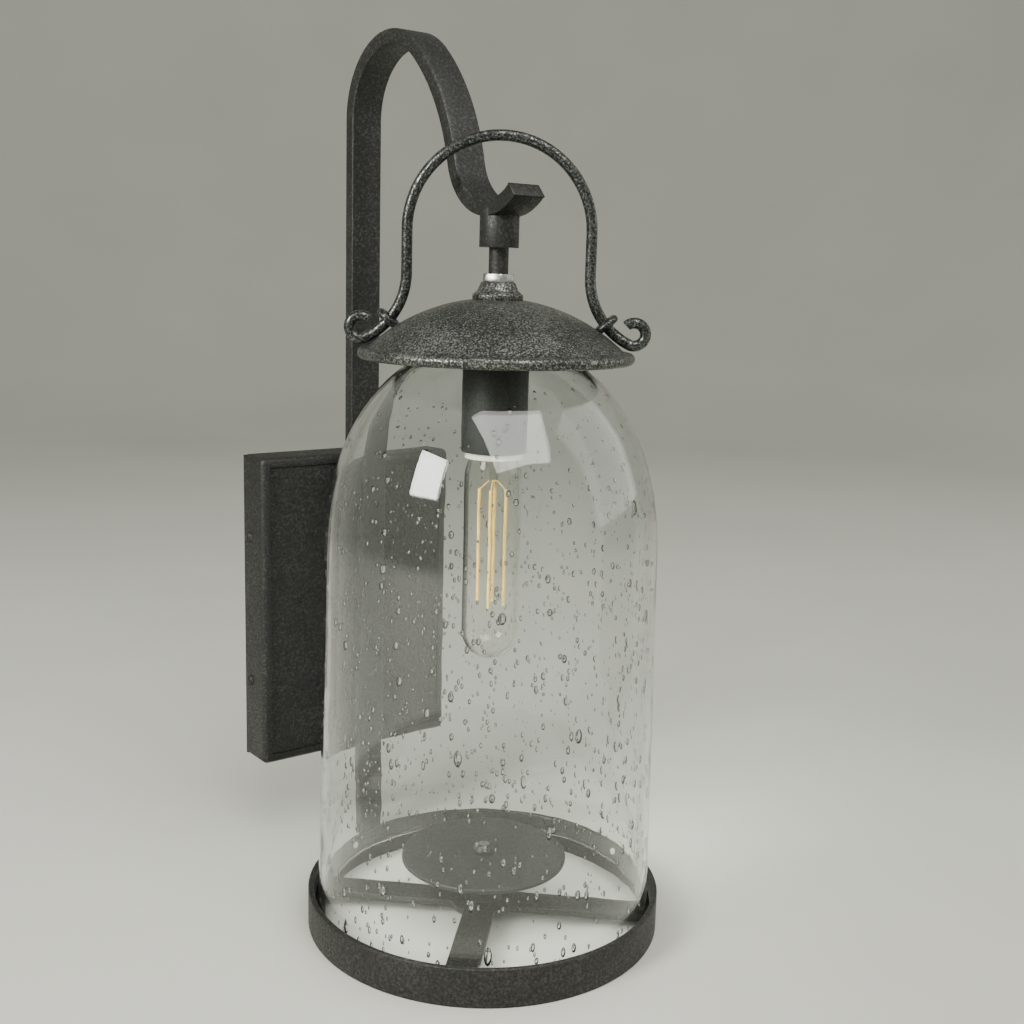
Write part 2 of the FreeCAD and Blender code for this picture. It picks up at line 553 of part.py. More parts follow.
# ---- cap ----------------------------------------------------------------------------------------
def cap():
    """Spun cap with a rolled rim, its top collar and nuts, and the two eyes that hold the bail."""
    ball = Vector(0, 0, CAP_APEX - CAP_BALL_R)
    bead_x = CAP_RIM_R - CAP_BEAD_R
    flat_angle = math.degrees(math.acos(CAP_FLAT_R / CAP_BALL_R))
    edge_angle = math.degrees(math.acos(bead_x / CAP_BALL_R))
    plane = (Vector(1, 0, 0), UP)
    outer = arc(ball, CAP_BALL_R, flat_angle, edge_angle, plane)
    inner = arc(ball, CAP_BALL_R - CAP_SHEET, flat_angle, edge_angle, plane)
    hole_r = STEM_R + CLEAR_GAP
    flat_in_z = inner.Vertexes[0].Point.z
    edges = [outer, inner, line(outer.Vertexes[1].Point, inner.Vertexes[1].Point),
             line(outer.Vertexes[0].Point, Vector(hole_r, 0, outer.Vertexes[0].Point.z)),
             line(inner.Vertexes[0].Point, Vector(hole_r, 0, flat_in_z)),
             line(Vector(hole_r, 0, outer.Vertexes[0].Point.z), Vector(hole_r, 0, flat_in_z))]
    sheet = turned(Part.Wire(Part.__sortEdges__(edges)))
    bead_z = outer.Vertexes[1].Point.z - CAP_SHEET / 2
    bead = Part.makeTorus(bead_x, CAP_BEAD_R, Vector(0, -REACH, bead_z))
    keep("cap", sheet.fuse(bead))
    collar = [(STEM_R + CLEAR_GAP, cap_flat_z), (CAP_COLLAR_R, cap_flat_z), (CAP_COLLAR_R, cap_flat_z + 2.5),
              (CAP_COLLAR_R - 2.5, cap_flat_z + 4.5), (NUT_AF / 2 + 1.5, cap_flat_z + CAP_COLLAR_H - 1),
              (NUT_AF / 2 + 0.8, cap_flat_z + CAP_COLLAR_H), (STEM_R + CLEAR_GAP, cap_flat_z + CAP_COLLAR_H)]
    keep("cap_collar", turned_points(collar))
    nut_bore = STEM_R + THREAD_GAP
    collar_top = cap_flat_z + CAP_COLLAR_H
    keep("stem_top_nut", hexagon(NUT_AF, collar_top, collar_top + NUT_H, nut_bore))
    keep("cap_nut", hexagon(NUT_AF, flat_in_z - NUT_H, flat_in_z, nut_bore))
    body = nodes["cap"]
    for name, hand in (("bail_eye_left", -1), ("bail_eye_right", 1)):
        point, heading = flare_point(hand, EYE_AT)
        ring_r = WIRE_R + EYE_GAP + EYE_WIRE_R
        ring = Part.makeTorus(ring_r, EYE_WIRE_R, point, heading)
        down = heading.cross(Vector(0, 1, 0)) * hand
        if down.z > 0:
            down = down * -1
        leg = rod(EYE_WIRE_R, point + down * ring_r, point + down * (ring_r + EYE_LEG))
        eye = place_bail(ring.fuse(leg)).cut(body)
        keep(name, max(eye.Solids, key=lambda solid: solid.Volume))


# ---- glass --------------------------------------------------------------------------------------
def dome_radius(rise, shoulder_r, dome_h):
    """Radius of the dome at a height above its shoulder: a softened ellipse."""
    return shoulder_r * math.sqrt(max(0.0, 1 - (rise / dome_h) ** GLASS_DOME_POWER))


def dome_rise(radius, shoulder_r, dome_h):
    """Height above the shoulder at which the dome has a radius."""
    return dome_h * (1 - (radius / shoulder_r) ** 2) ** (1 / GLASS_DOME_POWER)


def glass_top():
    """Height of the glass's flat top."""
    return GLASS_SHOULDER_Z + dome_rise(GLASS_TOP_R, GLASS_SHOULDER_R, GLASS_DOME_H)


def dome_edge(shoulder_r, dome_h, top_r):
    """Smooth curve from the shoulder to the edge of the flat top."""
    top = dome_rise(top_r, shoulder_r, dome_h)
    points = []
    steps = 7
    for k in range(steps + 1):
        rise = top * math.sin(math.radians(90 * k / steps))
        points.append(Vector(dome_radius(rise, shoulder_r, dome_h), 0, GLASS_SHOULDER_Z + rise))
    curve = Part.BSplineCurve()
    curve.interpolate(points)
    return curve.toShape()


def glass():
    """Bell glass with a bead round its foot, and what clamps it between the cap and the lamp cup."""
    top = glass_top()
    outer = dome_edge(GLASS_SHOULDER_R, GLASS_DOME_H, GLASS_TOP_R)
    inner_shoulder = GLASS_SHOULDER_R - GLASS_T
    inner_h = GLASS_DOME_H - GLASS_T
    inner_top_r = inner_shoulder * math.sqrt(
        1 - ((top - GLASS_T - GLASS_SHOULDER_Z) / inner_h) ** GLASS_DOME_POWER)
    inner = dome_edge(inner_shoulder, inner_h, inner_top_r)
    bead_z = glass_foot_z + GLASS_BEAD_H
    slope = (GLASS_FOOT_R - GLASS_SHOULDER_R) / (GLASS_SHOULDER_Z - glass_foot_z)
    bead_in_r = GLASS_FOOT_R - slope * GLASS_BEAD_H
    corners = [outer.Vertexes[0].Point, Vector(bead_in_r, 0, bead_z),
               Vector(bead_in_r + GLASS_BEAD, 0, bead_z - 0.8),
               Vector(GLASS_FOOT_R + GLASS_BEAD, 0, glass_foot_z + 0.6),
               Vector(GLASS_FOOT_R + GLASS_BEAD - 0.6, 0, glass_foot_z),
               Vector(GLASS_FOOT_R - GLASS_T, 0, glass_foot_z), inner.Vertexes[0].Point]
    edges = [line(a, b) for a, b in zip(corners, corners[1:])]
    top_in = inner.Vertexes[-1].Point
    top_out = outer.Vertexes[-1].Point
    edges += [outer, inner, line(top_out, Vector(GLASS_HOLE_R, 0, top_out.z)),
              line(Vector(GLASS_HOLE_R, 0, top_out.z), Vector(GLASS_HOLE_R, 0, top_in.z)),
              line(Vector(GLASS_HOLE_R, 0, top_in.z), top_in)]
    keep("glass", turned(Part.Wire(Part.__sortEdges__(edges))))
    keep("upper_gasket", on_axis(SEAT_R, top, top + WASHER_T, GLASS_HOLE_R))
    seat_low = top + WASHER_T
    keep("glass_seat", on_axis(SEAT_R, seat_low, seat_low + SEAT_T, STEM_R + CLEAR_GAP))
    keep("seat_nut", hexagon(NUT_AF, seat_low + SEAT_T, seat_low + SEAT_T + NUT_H, STEM_R + THREAD_GAP))
    keep("lower_gasket", on_axis(CUP_R - 0.5, top - GLASS_T - WASHER_T, top - GLASS_T, GLASS_HOLE_R))


# ---- lamp holder and bulb -----------------------------------------------------------------------
def lamp():
    """Lamp cup, insulator, screw shell and contact, and the tubular bulb that screws into them."""
    cup_top = glass_top() - GLASS_T - WASHER_T
    cup_low = cup_top - CUP_H
    hollow = on_axis(CUP_R - CUP_T, cup_low - 1, cup_top - CUP_T)
    stem_hole = on_axis(STEM_R + CLEAR_GAP, cup_low, cup_top + 1)
    keep("lamp_cup", on_axis(CUP_R, cup_low, cup_top).cut(hollow).cut(stem_hole))
    nut_top = cup_top - CUP_T
    keep("cup_nut", hexagon(NUT_AF, nut_top - NUT_H, nut_top, STEM_R + THREAD_GAP))
    body_top = cup_top - SOCKET_TOP_DROP
    body_low = body_top - SOCKET_H
    shell_low = body_low + 2
    shell_top = shell_low + SHELL_H
    cavity_r = SHELL_OUT_R + THREAD_GAP
    insulator = on_axis(SOCKET_R, body_low, body_top).cut(on_axis(cavity_r, body_low - 1, shell_top + 3))
    keep("socket_insulator", insulator)
    keep("screw_shell", on_axis(SHELL_OUT_R, shell_low, shell_top, SHELL_OUT_R - SHELL_T))
    keep("centre_contact", on_axis(CONTACT_R, shell_top + 2, shell_top + 3))
    base_r = SHELL_OUT_R - SHELL_T - RUN_GAP
    tip_top = shell_top + 1.7
    base_top = tip_top - 1.2
    base_low = base_top - BULB_BASE_H
    base = [(base_r, base_low), (base_r, base_top - 4), (CONTACT_R + 1.5, base_top - 1),
            (CONTACT_R, base_top), (0, base_top), (0, base_top - 1.2), (CONTACT_R, base_top - 1.2),
            (base_r - BULB_WALL, base_top - 4.6), (base_r - BULB_WALL, base_low)]
    keep("bulb_base", turned_points(base))
    keep("bulb_contact", on_axis(CONTACT_R - 0.6, base_top, tip_top))
    bulb_low = tip_top - BULB_LENGTH
    keep("bulb_glass", bulb_envelope(base_low, bulb_low))
    mount_top = base_low
    mount_low = mount_top - 18
    mount = turned_points([(0, mount_top + 4), (4.5, mount_top + 4), (3.2, mount_low + 6), (2.2, mount_low),
                           (0, mount_low)])
    keep("bulb_mount", mount)
    strips = []
    strip_top = mount_low - 4
    strip_low = strip_top - FILAMENT_LENGTH
    for k in range(FILAMENT_COUNT):
        degrees = 45 + 360 / FILAMENT_COUNT * k
        foot = polar(FILAMENT_CIRCLE_R, degrees, strip_low)
        head = polar(FILAMENT_CIRCLE_R, degrees, strip_top)
        strip = rod(FILAMENT_R, foot, head)
        link = rod(0.35, polar(1.4, degrees, mount_low + 1), head - UP * 0.8)
        strips.append(strip.fuse(link).cut(mount))
    keep("bulb_filaments", *strips)


def bulb_envelope(neck_z, low_z):
    """Thin tubular glass with a round end, open at its neck inside the base."""
    def outline(radius, neck_r, bottom_z):
        plane = (Vector(1, 0, 0), UP)
        shoulder_z = neck_z - 16
        end = arc(Vector(0, 0, bottom_z + radius), radius, 270, 360, plane)
        swell = Part.BSplineCurve()
        swell.interpolate([Vector(radius, 0, shoulder_z), Vector((radius + neck_r) / 2, 0, neck_z - 8.5),
                           Vector(neck_r, 0, neck_z)])
        wall = line(Vector(radius, 0, bottom_z + radius), Vector(radius, 0, shoulder_z))
        top = neck_z + 3
        return [end, wall, swell.toShape(), line(Vector(neck_r, 0, neck_z), Vector(neck_r, 0, top)),
                line(Vector(neck_r, 0, top), Vector(0, 0, top)),
                line(Vector(0, 0, top), Vector(0, 0, bottom_z))]
    base_in = SHELL_OUT_R - SHELL_T - RUN_GAP - BULB_WALL - 0.1
    outer_neck = min(BULB_NECK_R, base_in)
    outer = turned(Part.Wire(Part.__sortEdges__(outline(BULB_R, outer_neck, low_z))))
    hollow = outline(BULB_R - BULB_WALL, outer_neck - BULB_WALL, low_z + BULB_WALL)
    return outer.cut(turned(Part.Wire(Part.__sortEdges__(hollow))))


# ---- base ---------------------------------------------------------------------------------------
def base():
    """Band ring with a cross, the disc on its post, and the screws that grip the glass's foot."""
    inner_r = RING_R - RING_WALL
    band = turned_points([(inner_r, FOOT_Z), (RING_R - RING_EDGE, FOOT_Z), (RING_R, FOOT_Z + RING_EDGE),
                          (RING_R, ring_top_z - RING_EDGE), (RING_R - RING_EDGE, ring_top_z),
                          (inner_r + RING_EDGE / 2, ring_top_z), (inner_r, ring_top_z - RING_EDGE / 2)])
    screw_z = ring_top_z - RING_SCREW_DROP
    bore = RING_SCREW_R + THREAD_GAP
    slope = (GLASS_FOOT_R - GLASS_SHOULDER_R) / (GLASS_SHOULDER_Z - glass_foot_z)
    glass_at_screw = GLASS_FOOT_R - slope * (screw_z - glass_foot_z)
    pad_in = glass_at_screw + abs(slope) * PAD_R + THREAD_GAP
    pads = []
    screws = []
    for k in range(3):
        degrees = SCREW_ANGLE + 120 * k
        band = band.cut(rod(bore, polar(inner_r - 4, degrees, screw_z), polar(RING_R + 2, degrees, screw_z)))
        screw = rod(RING_SCREW_R, polar(pad_in + PAD_T, degrees, screw_z),
                    polar(RING_R - 0.4, degrees, screw_z))
        key = rod(RING_SCREW_R * 0.5, polar(RING_R - 1.6, degrees, screw_z), polar(RING_R, degrees, screw_z))
        screws.append(screw.cut(key))
        pads.append(rod(PAD_R, polar(pad_in, degrees, screw_z), polar(pad_in + PAD_T, degrees, screw_z)))
    keep("base_ring", band)
    keep("ring_screws", *screws)
    keep("ring_pads", *pads)
    spoke_low = spoke_top_z - SPOKE_T
    middle = (0, -REACH, spoke_top_z - SPOKE_T / 2)
    cross = box(2 * RING_R, SPOKE_W, SPOKE_T, middle).fuse(box(SPOKE_W, 2 * RING_R, SPOKE_T, middle))
    cross = cross.common(on_axis(inner_r, spoke_low, spoke_top_z))
    cross = cross.fuse(on_axis(HUB_R, spoke_low, spoke_top_z))
    cross = cross.cut(on_axis(ROD_R + CLEAR_GAP, spoke_low - 1, spoke_top_z + 1)).removeSplitter()
    keep("base_cross", turn(cross, SPOKE_ANGLE))
    keep("foot_gasket", on_axis(GLASS_FOOT_R, spoke_top_z, glass_foot_z, GLASS_FOOT_R - GLASS_T))
    disc_top = FOOT_Z + DISC_TOP
    disc_low = disc_top - DISC_T
    keep("disc_post", turned_points([(ROD_R + CLEAR_GAP, spoke_top_z), (POST_R + 3, spoke_top_z),
                                     (POST_R, spoke_top_z + 4), (POST_R, disc_low - 3),
                                     (POST_R + 2, disc_low), (ROD_R + CLEAR_GAP, disc_low)]))
    keep("glare_disc", turned_points([(ROD_R + CLEAR_GAP, disc_low), (DISC_R - 1, disc_low),
                                      (DISC_R, disc_low + 1),
                                      (DISC_R, disc_top - 0.6), (DISC_R - 0.6, disc_top),
                                      (ROD_R + CLEAR_GAP, disc_top)]))
    keep("disc_nut", turned_points([(ROD_R + THREAD_GAP, disc_top), (ROD_NUT_R, disc_top),
                                    (ROD_NUT_R, disc_top + 2), (ROD_NUT_R - 1, disc_top + 4.5),
                                    (ROD_R + THREAD_GAP, disc_top + 5)]))
    keep("hub_nut", on_axis(ROD_NUT_R, spoke_low - ROD_NUT_H, spoke_low, ROD_R + THREAD_GAP))
    keep("post_rod", on_axis(ROD_R, spoke_low - ROD_NUT_H, disc_top + 5))


def bail():
    """Bail of round wire: an arch, two flared legs and two open curls."""
    left = bail_side(-1)
    right = bail_side(1)
    solids = []
    for edges in (left, right):
        solids.append(wire_solid(Part.Wire(edges), WIRE_R))
    whole = solids[0].fuse(solids[1]).removeSplitter()
    for hand, edges in ((-1, left), (1, right)):
        end = edges[-1].Vertexes[-1].Point
        whole = whole.fuse(Part.makeSphere(WIRE_R, end))
    keep("bail", place_bail(whole))


canopy()
bracket()
arm_solid = arm()
swivel(arm_solid)
leads()
cap()
glass()
lamp()
base()
bail()

os.makedirs("parts", exist_ok=True)
for node_name, node_shape in nodes.items():
    if not node_shape.isValid():
        print("not valid:", node_name)
    node_shape.exportStep("parts/" + node_name + ".step")
print(len(nodes), "nodes")
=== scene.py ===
"""Outdoor wall lantern: the finished surfaces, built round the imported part's frame.

Every piece is drawn in millimetres, in the frame's own axes: the wall is the plane y = 0, +Z is up and
the lantern stands off towards -Y. A piece goes where the frame's own nodes are, rides on their body and
stands for them.
"""

import json
import logging
import math
import random
from collections.abc import Iterable, Sequence
from dataclasses import dataclass, field
from enum import Enum

import bmesh
import bpy
from mathutils import Matrix, Vector

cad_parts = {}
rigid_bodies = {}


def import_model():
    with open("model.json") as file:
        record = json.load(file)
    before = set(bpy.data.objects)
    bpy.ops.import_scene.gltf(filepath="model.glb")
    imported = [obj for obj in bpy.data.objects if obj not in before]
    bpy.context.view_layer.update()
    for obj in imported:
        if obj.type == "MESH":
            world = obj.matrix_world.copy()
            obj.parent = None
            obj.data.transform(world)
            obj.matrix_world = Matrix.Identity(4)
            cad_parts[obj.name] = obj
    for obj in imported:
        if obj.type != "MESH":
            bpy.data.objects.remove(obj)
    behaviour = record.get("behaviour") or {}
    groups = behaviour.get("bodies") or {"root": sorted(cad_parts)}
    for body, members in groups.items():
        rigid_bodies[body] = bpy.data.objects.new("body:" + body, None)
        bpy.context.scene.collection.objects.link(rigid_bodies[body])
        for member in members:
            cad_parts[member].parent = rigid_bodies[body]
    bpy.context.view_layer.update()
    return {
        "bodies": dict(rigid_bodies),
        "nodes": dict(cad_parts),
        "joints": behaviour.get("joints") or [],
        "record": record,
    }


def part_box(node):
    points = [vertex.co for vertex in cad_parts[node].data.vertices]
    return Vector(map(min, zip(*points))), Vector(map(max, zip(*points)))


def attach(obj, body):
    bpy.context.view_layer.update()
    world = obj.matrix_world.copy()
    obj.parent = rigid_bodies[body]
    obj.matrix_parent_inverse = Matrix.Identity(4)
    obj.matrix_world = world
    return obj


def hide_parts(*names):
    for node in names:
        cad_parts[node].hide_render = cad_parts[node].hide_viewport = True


log = logging.getLogger("lantern")

MM = 0.001
PER_MM = 1000.0  # a pattern whose cells are one millimetre has this scale
UP = Vector((0.0, 0.0, 1.0))
RIGHT = Vector((1.0, 0.0, 0.0))
OUT = Vector((0.0, -1.0, 0.0))
FULL_TURN = 2.0 * math.pi

Point = tuple[float, float]
Colour = tuple[float, float, float, float]


class Body(Enum):
    """The rigid bodies of the frame that pieces ride on."""

    BRACKET = "bracket"
    LANTERN = "lantern"
    BAIL = "bail"
    BULB = "bulb"


# ---- colour and node helpers --------------------------------------------------------------------
def linear(hex_code: str) -> Colour:
    """Turns an sRGB hex colour to linear light.

    Args:
        hex_code: six hex digits after a hash.

    Returns:
        Linear red, green and blue, with an alpha of one.
    """
    parts = [int(hex_code[i : i + 2], 16) / 255.0 for i in (1, 3, 5)]
    lit = [c / 12.92 if c <= 0.04045 else ((c + 0.055) / 1.055) ** 2.4 for c in parts]
    return (lit[0], lit[1], lit[2], 1.0)


def add(tree: bpy.types.NodeTree, kind: str, settings: dict, sockets: dict) -> bpy.types.Node:
    """Adds a node with its settings, values and links.

    Args:
        tree: the tree that gets the node.
        kind: the node's type name.
        settings: properties to set; "stops" holds a colour ramp's (position, colour) pairs.
        sockets: values for the inputs, or output sockets to link to them, by name or place.

    Returns:
        The new node.
    """
    made = tree.nodes.new(kind)
    for name, value in settings.items():
        if name == "stops":
            elements = made.color_ramp.elements
            while len(elements) < len(value):
                elements.new(0.5)
            for element, (position, colour) in zip(elements, value):
                element.position = position
                element.color = colour
        else:
            setattr(made, name, value)
    for key, value in sockets.items():
        if isinstance(value, bpy.types.NodeSocket):
            tree.links.new(value, made.inputs[key])
        else:
            made.inputs[key].default_value = value
    return made


def new_tree(name: str) -> tuple[bpy.types.Material, bpy.types.NodeTree, bpy.types.Node]:
    """Makes an empty node material.

    Args:
        name: the material's name.

    Returns:
        The material, its tree and its output node.
    """
    material = bpy.data.materials.new(name)
    material.use_nodes = True
    tree = material.node_tree
    tree.nodes.clear()
    return material, tree, tree.nodes.new("ShaderNodeOutputMaterial")


# ---- finishes -----------------------------------------------------------------------------------
@dataclass(frozen=True)
class PowderCoat:
    """Baked polyester powder coat, sprayed over steel.

    A fine sandy grain with paler and darker flecks in it, low clouds of tone, and a soft sheen that
    the grain breaks up. The real grain is too fine to show at this size, so it is drawn coarser.
    """

    name: str
    body: str
    fleck_dark: str
    fleck_pale: str
    grain_mm: float = 1.25
    cloud_mm: float = 22.0
    bump_mm: float = 0.10
    metallic: float = 0.25
    roughness: float = 0.5
    pit_mm: float = 0.0
    dark_until: float = 0.46
    pale_from: float = 0.54
    dark_run: float = 0.09
    pale_run: float = 0.11
    cloud_share: float = 0.22
    sheen_swing: float = 0.12

    def make(self) -> bpy.types.Material:
        """Builds the material.

        Returns:
            The material.
        """
        material, tree, output = new_tree(self.name)
        place = add(tree, "ShaderNodeTexCoord", {}, {}).outputs["Object"]
        grain = add(tree, "ShaderNodeTexNoise", {}, {
            "Vector": place, "Scale": PER_MM / self.grain_mm, "Detail": 2.0, "Roughness": 0.6})
        cloud = add(tree, "ShaderNodeTexNoise", {}, {
            "Vector": place, "Scale": PER_MM / self.cloud_mm, "Detail": 3.0, "Roughness": 0.55})
        shifted = add(tree, "ShaderNodeMath", {"operation": "MULTIPLY_ADD"}, {
            0: cloud.outputs["Fac"], 1: self.cloud_share, 2: grain.outputs["Fac"]})
        centred = add(tree, "ShaderNodeMath", {"operation": "SUBTRACT"}, {
            0: shifted.outputs[0], 1: self.cloud_share / 2.0})
        flecks = add(tree, "ShaderNodeValToRGB", {"stops": (
            (self.dark_until - self.dark_run, linear(self.fleck_dark)),
            (self.dark_until, linear(self.body)),
            (self.pale_from, linear(self.body)),
            (self.pale_from + self.pale_run, linear(self.fleck_pale)),
        )}, {"Fac": centred.outputs[0]})
        rough = add(tree, "ShaderNodeMapRange", {}, {
            "Value": grain.outputs["Fac"], "From Min": 0.3, "From Max": 0.7,
            "To Min": self.roughness + self.sheen_swing, "To Max": self.roughness - self.sheen_swing})
        bump = add(tree, "ShaderNodeBump", {}, {
            "Height": grain.outputs["Fac"], "Distance": self.bump_mm * MM, "Strength": 0.8})
        if self.pit_mm:
            pits = add(tree, "ShaderNodeTexVoronoi", {"feature": "SMOOTH_F1"}, {
                "Vector": place, "Scale": PER_MM / self.pit_mm, "Smoothness": 0.6})
            bump = add(tree, "ShaderNodeBump", {}, {
                "Height": pits.outputs["Distance"], "Distance": self.pit_mm * 0.3 * MM,
                "Strength": 0.9, "Normal": bump.outputs["Normal"]})
        shader = add(tree, "ShaderNodeBsdfPrincipled", {}, {
            "Base Color": flecks.outputs["Color"], "Metallic": self.metallic,
            "Roughness": rough.outputs["Result"], "Normal": bump.outputs["Normal"]})
        tree.links.new(shader.outputs[0], output.inputs["Surface"])
        return material


@dataclass(frozen=True)
class PlatedMetal:
    """Steel or brass, turned or pressed and then plated.

    Faint tool lines round it, a little cloudiness in the plating and a clean metal sheen.
    """

    name: str
    colour: str
    cloud: str
    roughness: float = 0.32
    line_mm: float = 0.35
    line_depth_mm: float = 0.01
    cloud_mm: float = 6.0

    def make(self) -> bpy.types.Material:
        """Builds the material.

        Returns:
            The material.
        """
        material, tree, output = new_tree(self.name)
        place = add(tree, "ShaderNodeTexCoord", {}, {}).outputs["Object"]
        stretched = add(tree, "ShaderNodeMapping", {}, {"Vector": place, "Scale": (0.08, 0.08, 1.0)})
        lines = add(tree, "ShaderNodeTexNoise", {}, {
            "Vector": stretched.outputs[0], "Scale": PER_MM / self.line_mm, "Detail": 2.0})
        cloud = add(tree, "ShaderNodeTexNoise", {}, {
            "Vector": place, "Scale": PER_MM / self.cloud_mm, "Detail": 3.0})
        tone = add(tree, "ShaderNodeValToRGB", {"stops": (
            (0.35, linear(self.cloud)), (0.6, linear(self.colour)),
        )}, {"Fac": cloud.outputs["Fac"]})
        rough = add(tree, "ShaderNodeMapRange", {}, {
            "Value": lines.outputs["Fac"], "From Min": 0.3, "From Max": 0.7,
            "To Min": self.roughness - 0.08, "To Max": self.roughness + 0.1})
        bump = add(tree, "ShaderNodeBump", {}, {
            "Height": lines.outputs["Fac"], "Distance": self.line_depth_mm * MM, "Strength": 0.5})
        shader = add(tree, "ShaderNodeBsdfPrincipled", {}, {
            "Base Color": tone.outputs["Color"], "Metallic": 1.0,
            "Roughness": rough.outputs["Result"], "Normal": bump.outputs["Normal"]})
        tree.links.new(shader.outputs[0], output.inputs["Surface"])
        return material


@dataclass(frozen=True)
class Moulded:
    """Moulded plastic, rubber, foam or glazed clay.

    A plain colour with a fine skin texture and a faint cloud; the clay has a clear glaze over it.
    """

    name: str
    colour: str
    cloud: str
    roughness: float = 0.5
    skin_mm: float = 0.5
    bump_mm: float = 0.02
    cloud_mm: float = 9.0
    coat: float = 0.0

    def make(self) -> bpy.types.Material:
        """Builds the material.

        Returns:
            The material.
        """
        material, tree, output = new_tree(self.name)
        place = add(tree, "ShaderNodeTexCoord", {}, {}).outputs["Object"]
        skin = add(tree, "ShaderNodeTexNoise", {}, {
            "Vector": place, "Scale": PER_MM / self.skin_mm, "Detail": 2.0})
        cloud = add(tree, "ShaderNodeTexNoise", {}, {
            "Vector": place, "Scale": PER_MM / self.cloud_mm, "Detail": 3.0})
        tone = add(tree, "ShaderNodeValToRGB", {"stops": (
            (0.35, linear(self.cloud)), (0.62, linear(self.colour)),
        )}, {"Fac": cloud.outputs["Fac"]})
        rough = add(tree, "ShaderNodeMapRange", {}, {
            "Value": skin.outputs["Fac"], "From Min": 0.3, "From Max": 0.7,
            "To Min": self.roughness - 0.05, "To Max": self.roughness + 0.08})
        bump = add(tree, "ShaderNodeBump", {}, {
            "Height": skin.outputs["Fac"], "Distance": self.bump_mm * MM, "Strength": 0.6})
        shader = add(tree, "ShaderNodeBsdfPrincipled", {}, {
            "Base Color": tone.outputs["Color"], "Coat Weight": self.coat, "Coat Roughness": 0.08,
            "Roughness": rough.outputs["Result"], "Normal": bump.outputs["Normal"]})
        tree.links.new(shader.outputs[0], output.inputs["Surface"])
        return material


@dataclass(frozen=True)
class BlownGlass:
    """Soda-lime glass, blown in a mould or drawn as a tube.

    Clear, with slow waves left by the blowing that bend what is seen through it. Lamps shine
    through it, as thin glass hardly dims them.
    """

    name: str
    tint: str
    wave_mm: float = 26.0
    wave_depth_mm: float = 0.25
    roughness: float = 0.0

    def make(self) -> bpy.types.Material:
        """Builds the material.

        Returns:
            The material.
        """
        material, tree, output = new_tree(self.name)
        place = add(tree, "ShaderNodeTexCoord", {}, {}).outputs["Object"]
        waves = add(tree, "ShaderNodeTexNoise", {}, {
            "Vector": place, "Scale": PER_MM / self.wave_mm, "Detail": 1.0})
        bump = add(tree, "ShaderNodeBump", {}, {
            "Height": waves.outputs["Fac"], "Distance": self.wave_depth_mm * MM, "Strength": 1.0})
        shader = add(tree, "ShaderNodeBsdfPrincipled", {}, {
            "Base Color": linear(self.tint), "Roughness": self.roughness, "IOR": 1.5,
            "Transmission Weight": 1.0, "Normal": bump.outputs["Normal"]})
        clear = add(tree, "ShaderNodeBsdfTransparent", {}, {"Color": linear(self.tint)})
        path = add(tree, "ShaderNodeLightPath", {}, {})
        both = add(tree, "ShaderNodeMixShader", {}, {
            0: path.outputs["Is Shadow Ray"], 1: shader.outputs[0], 2: clear.outputs[0]})
        tree.links.new(both.outputs[0], output.inputs["Surface"])
        return material


# Polyester powder coat in a near-black hammered iron: dull, sandy and almost without a highlight.
DARK_IRON = PowderCoat("powder_coat_dark_iron", "#181917", "#0b0b0a", "#383a36", metallic=0.15)
# The same coat, browner and smoother where the band was handled and rubbed.
RING_IRON = PowderCoat("powder_coat_ring", "#191916", "#0c0c0b", "#31312c", grain_mm=1.4, bump_mm=0.06,
                       metallic=0.1, roughness=0.55)
# A coarse, cast-look coat: the darkest of them, with shallow pits that catch small lights.
PANEL_IRON = PowderCoat("powder_coat_coarse_panel", "#0f100e", "#060605", "#2b2d29", grain_mm=1.4,
                        bump_mm=0.2, pit_mm=2.2, roughness=0.65, metallic=0.1)
# Metallic coat on spun steel: dark and pale flecks side by side, and a soft metal sheen.
PEWTER = PowderCoat("powder_coat_pewter", "#393b38", "#1f201e", "#7c7f79", grain_mm=0.95,
                    bump_mm=0.12, metallic=0.6, roughness=0.42, dark_until=0.47, pale_from=0.51)
# The same coat on drawn wire: tighter flecks and silvery highlights along the round.
PEWTER_WIRE = PowderCoat("powder_coat_pewter_wire", "#313331", "#1a1b1a", "#6c706e", grain_mm=1.0,
                         bump_mm=0.07, metallic=0.7, roughness=0.36, dark_until=0.47, pale_from=0.52)
# Satin coat on turned steel: an even dark grey with a wide, weak sheen.
GREY_SATIN = PowderCoat("powder_coat_grey_satin", "#1f211e", "#191a18", "#2b2d2a", bump_mm=0.04,
                        roughness=0.5, metallic=0.1)
# Touch-up paint on screw heads: thin, so bright steel shows at its flecks.
SCREW_PAINT = PowderCoat("painted_screw", "#262724", "#131312", "#55574f", grain_mm=0.9, bump_mm=0.05,
                         metallic=0.4)
# Zinc-plated steel: pale, cloudy and softly bright.
ZINC = PlatedMetal("zinc_plate", "#b9bab6", "#9fa29f")
# Steel dyed green, as ground screws are: a clear colour under a metal sheen.
GREEN_SCREW = PlatedMetal("green_dyed_steel", "#2f8f4a", "#1f6f38", roughness=0.4)
# Pressed brass: warm yellow with clean highlights.
BRASS = PlatedMetal("pressed_brass", "#cfa65a", "#b58c42", roughness=0.26)
# Nickel over brass: a bright, slightly warm white.
NICKEL = PlatedMetal("nickel_plated_brass", "#cbc8c0", "#b3b0a8", roughness=0.22)
# Closed-cell foam: black and quite dull, with open cells at its cut faces.
FOAM = Moulded("closed_cell_foam", "#242424", "#1a1a1a", roughness=0.85, skin_mm=0.8, bump_mm=0.15)
# Moulded rubber: black and dull, with a faint bloom.
RUBBER = Moulded("moulded_rubber", "#1e1e1d", "#151515", roughness=0.6)
# Natural nylon: creamy, with a waxy sheen.
NYLON = Moulded("moulded_nylon", "#d9d4c6", "#cbc5b4", roughness=0.4)
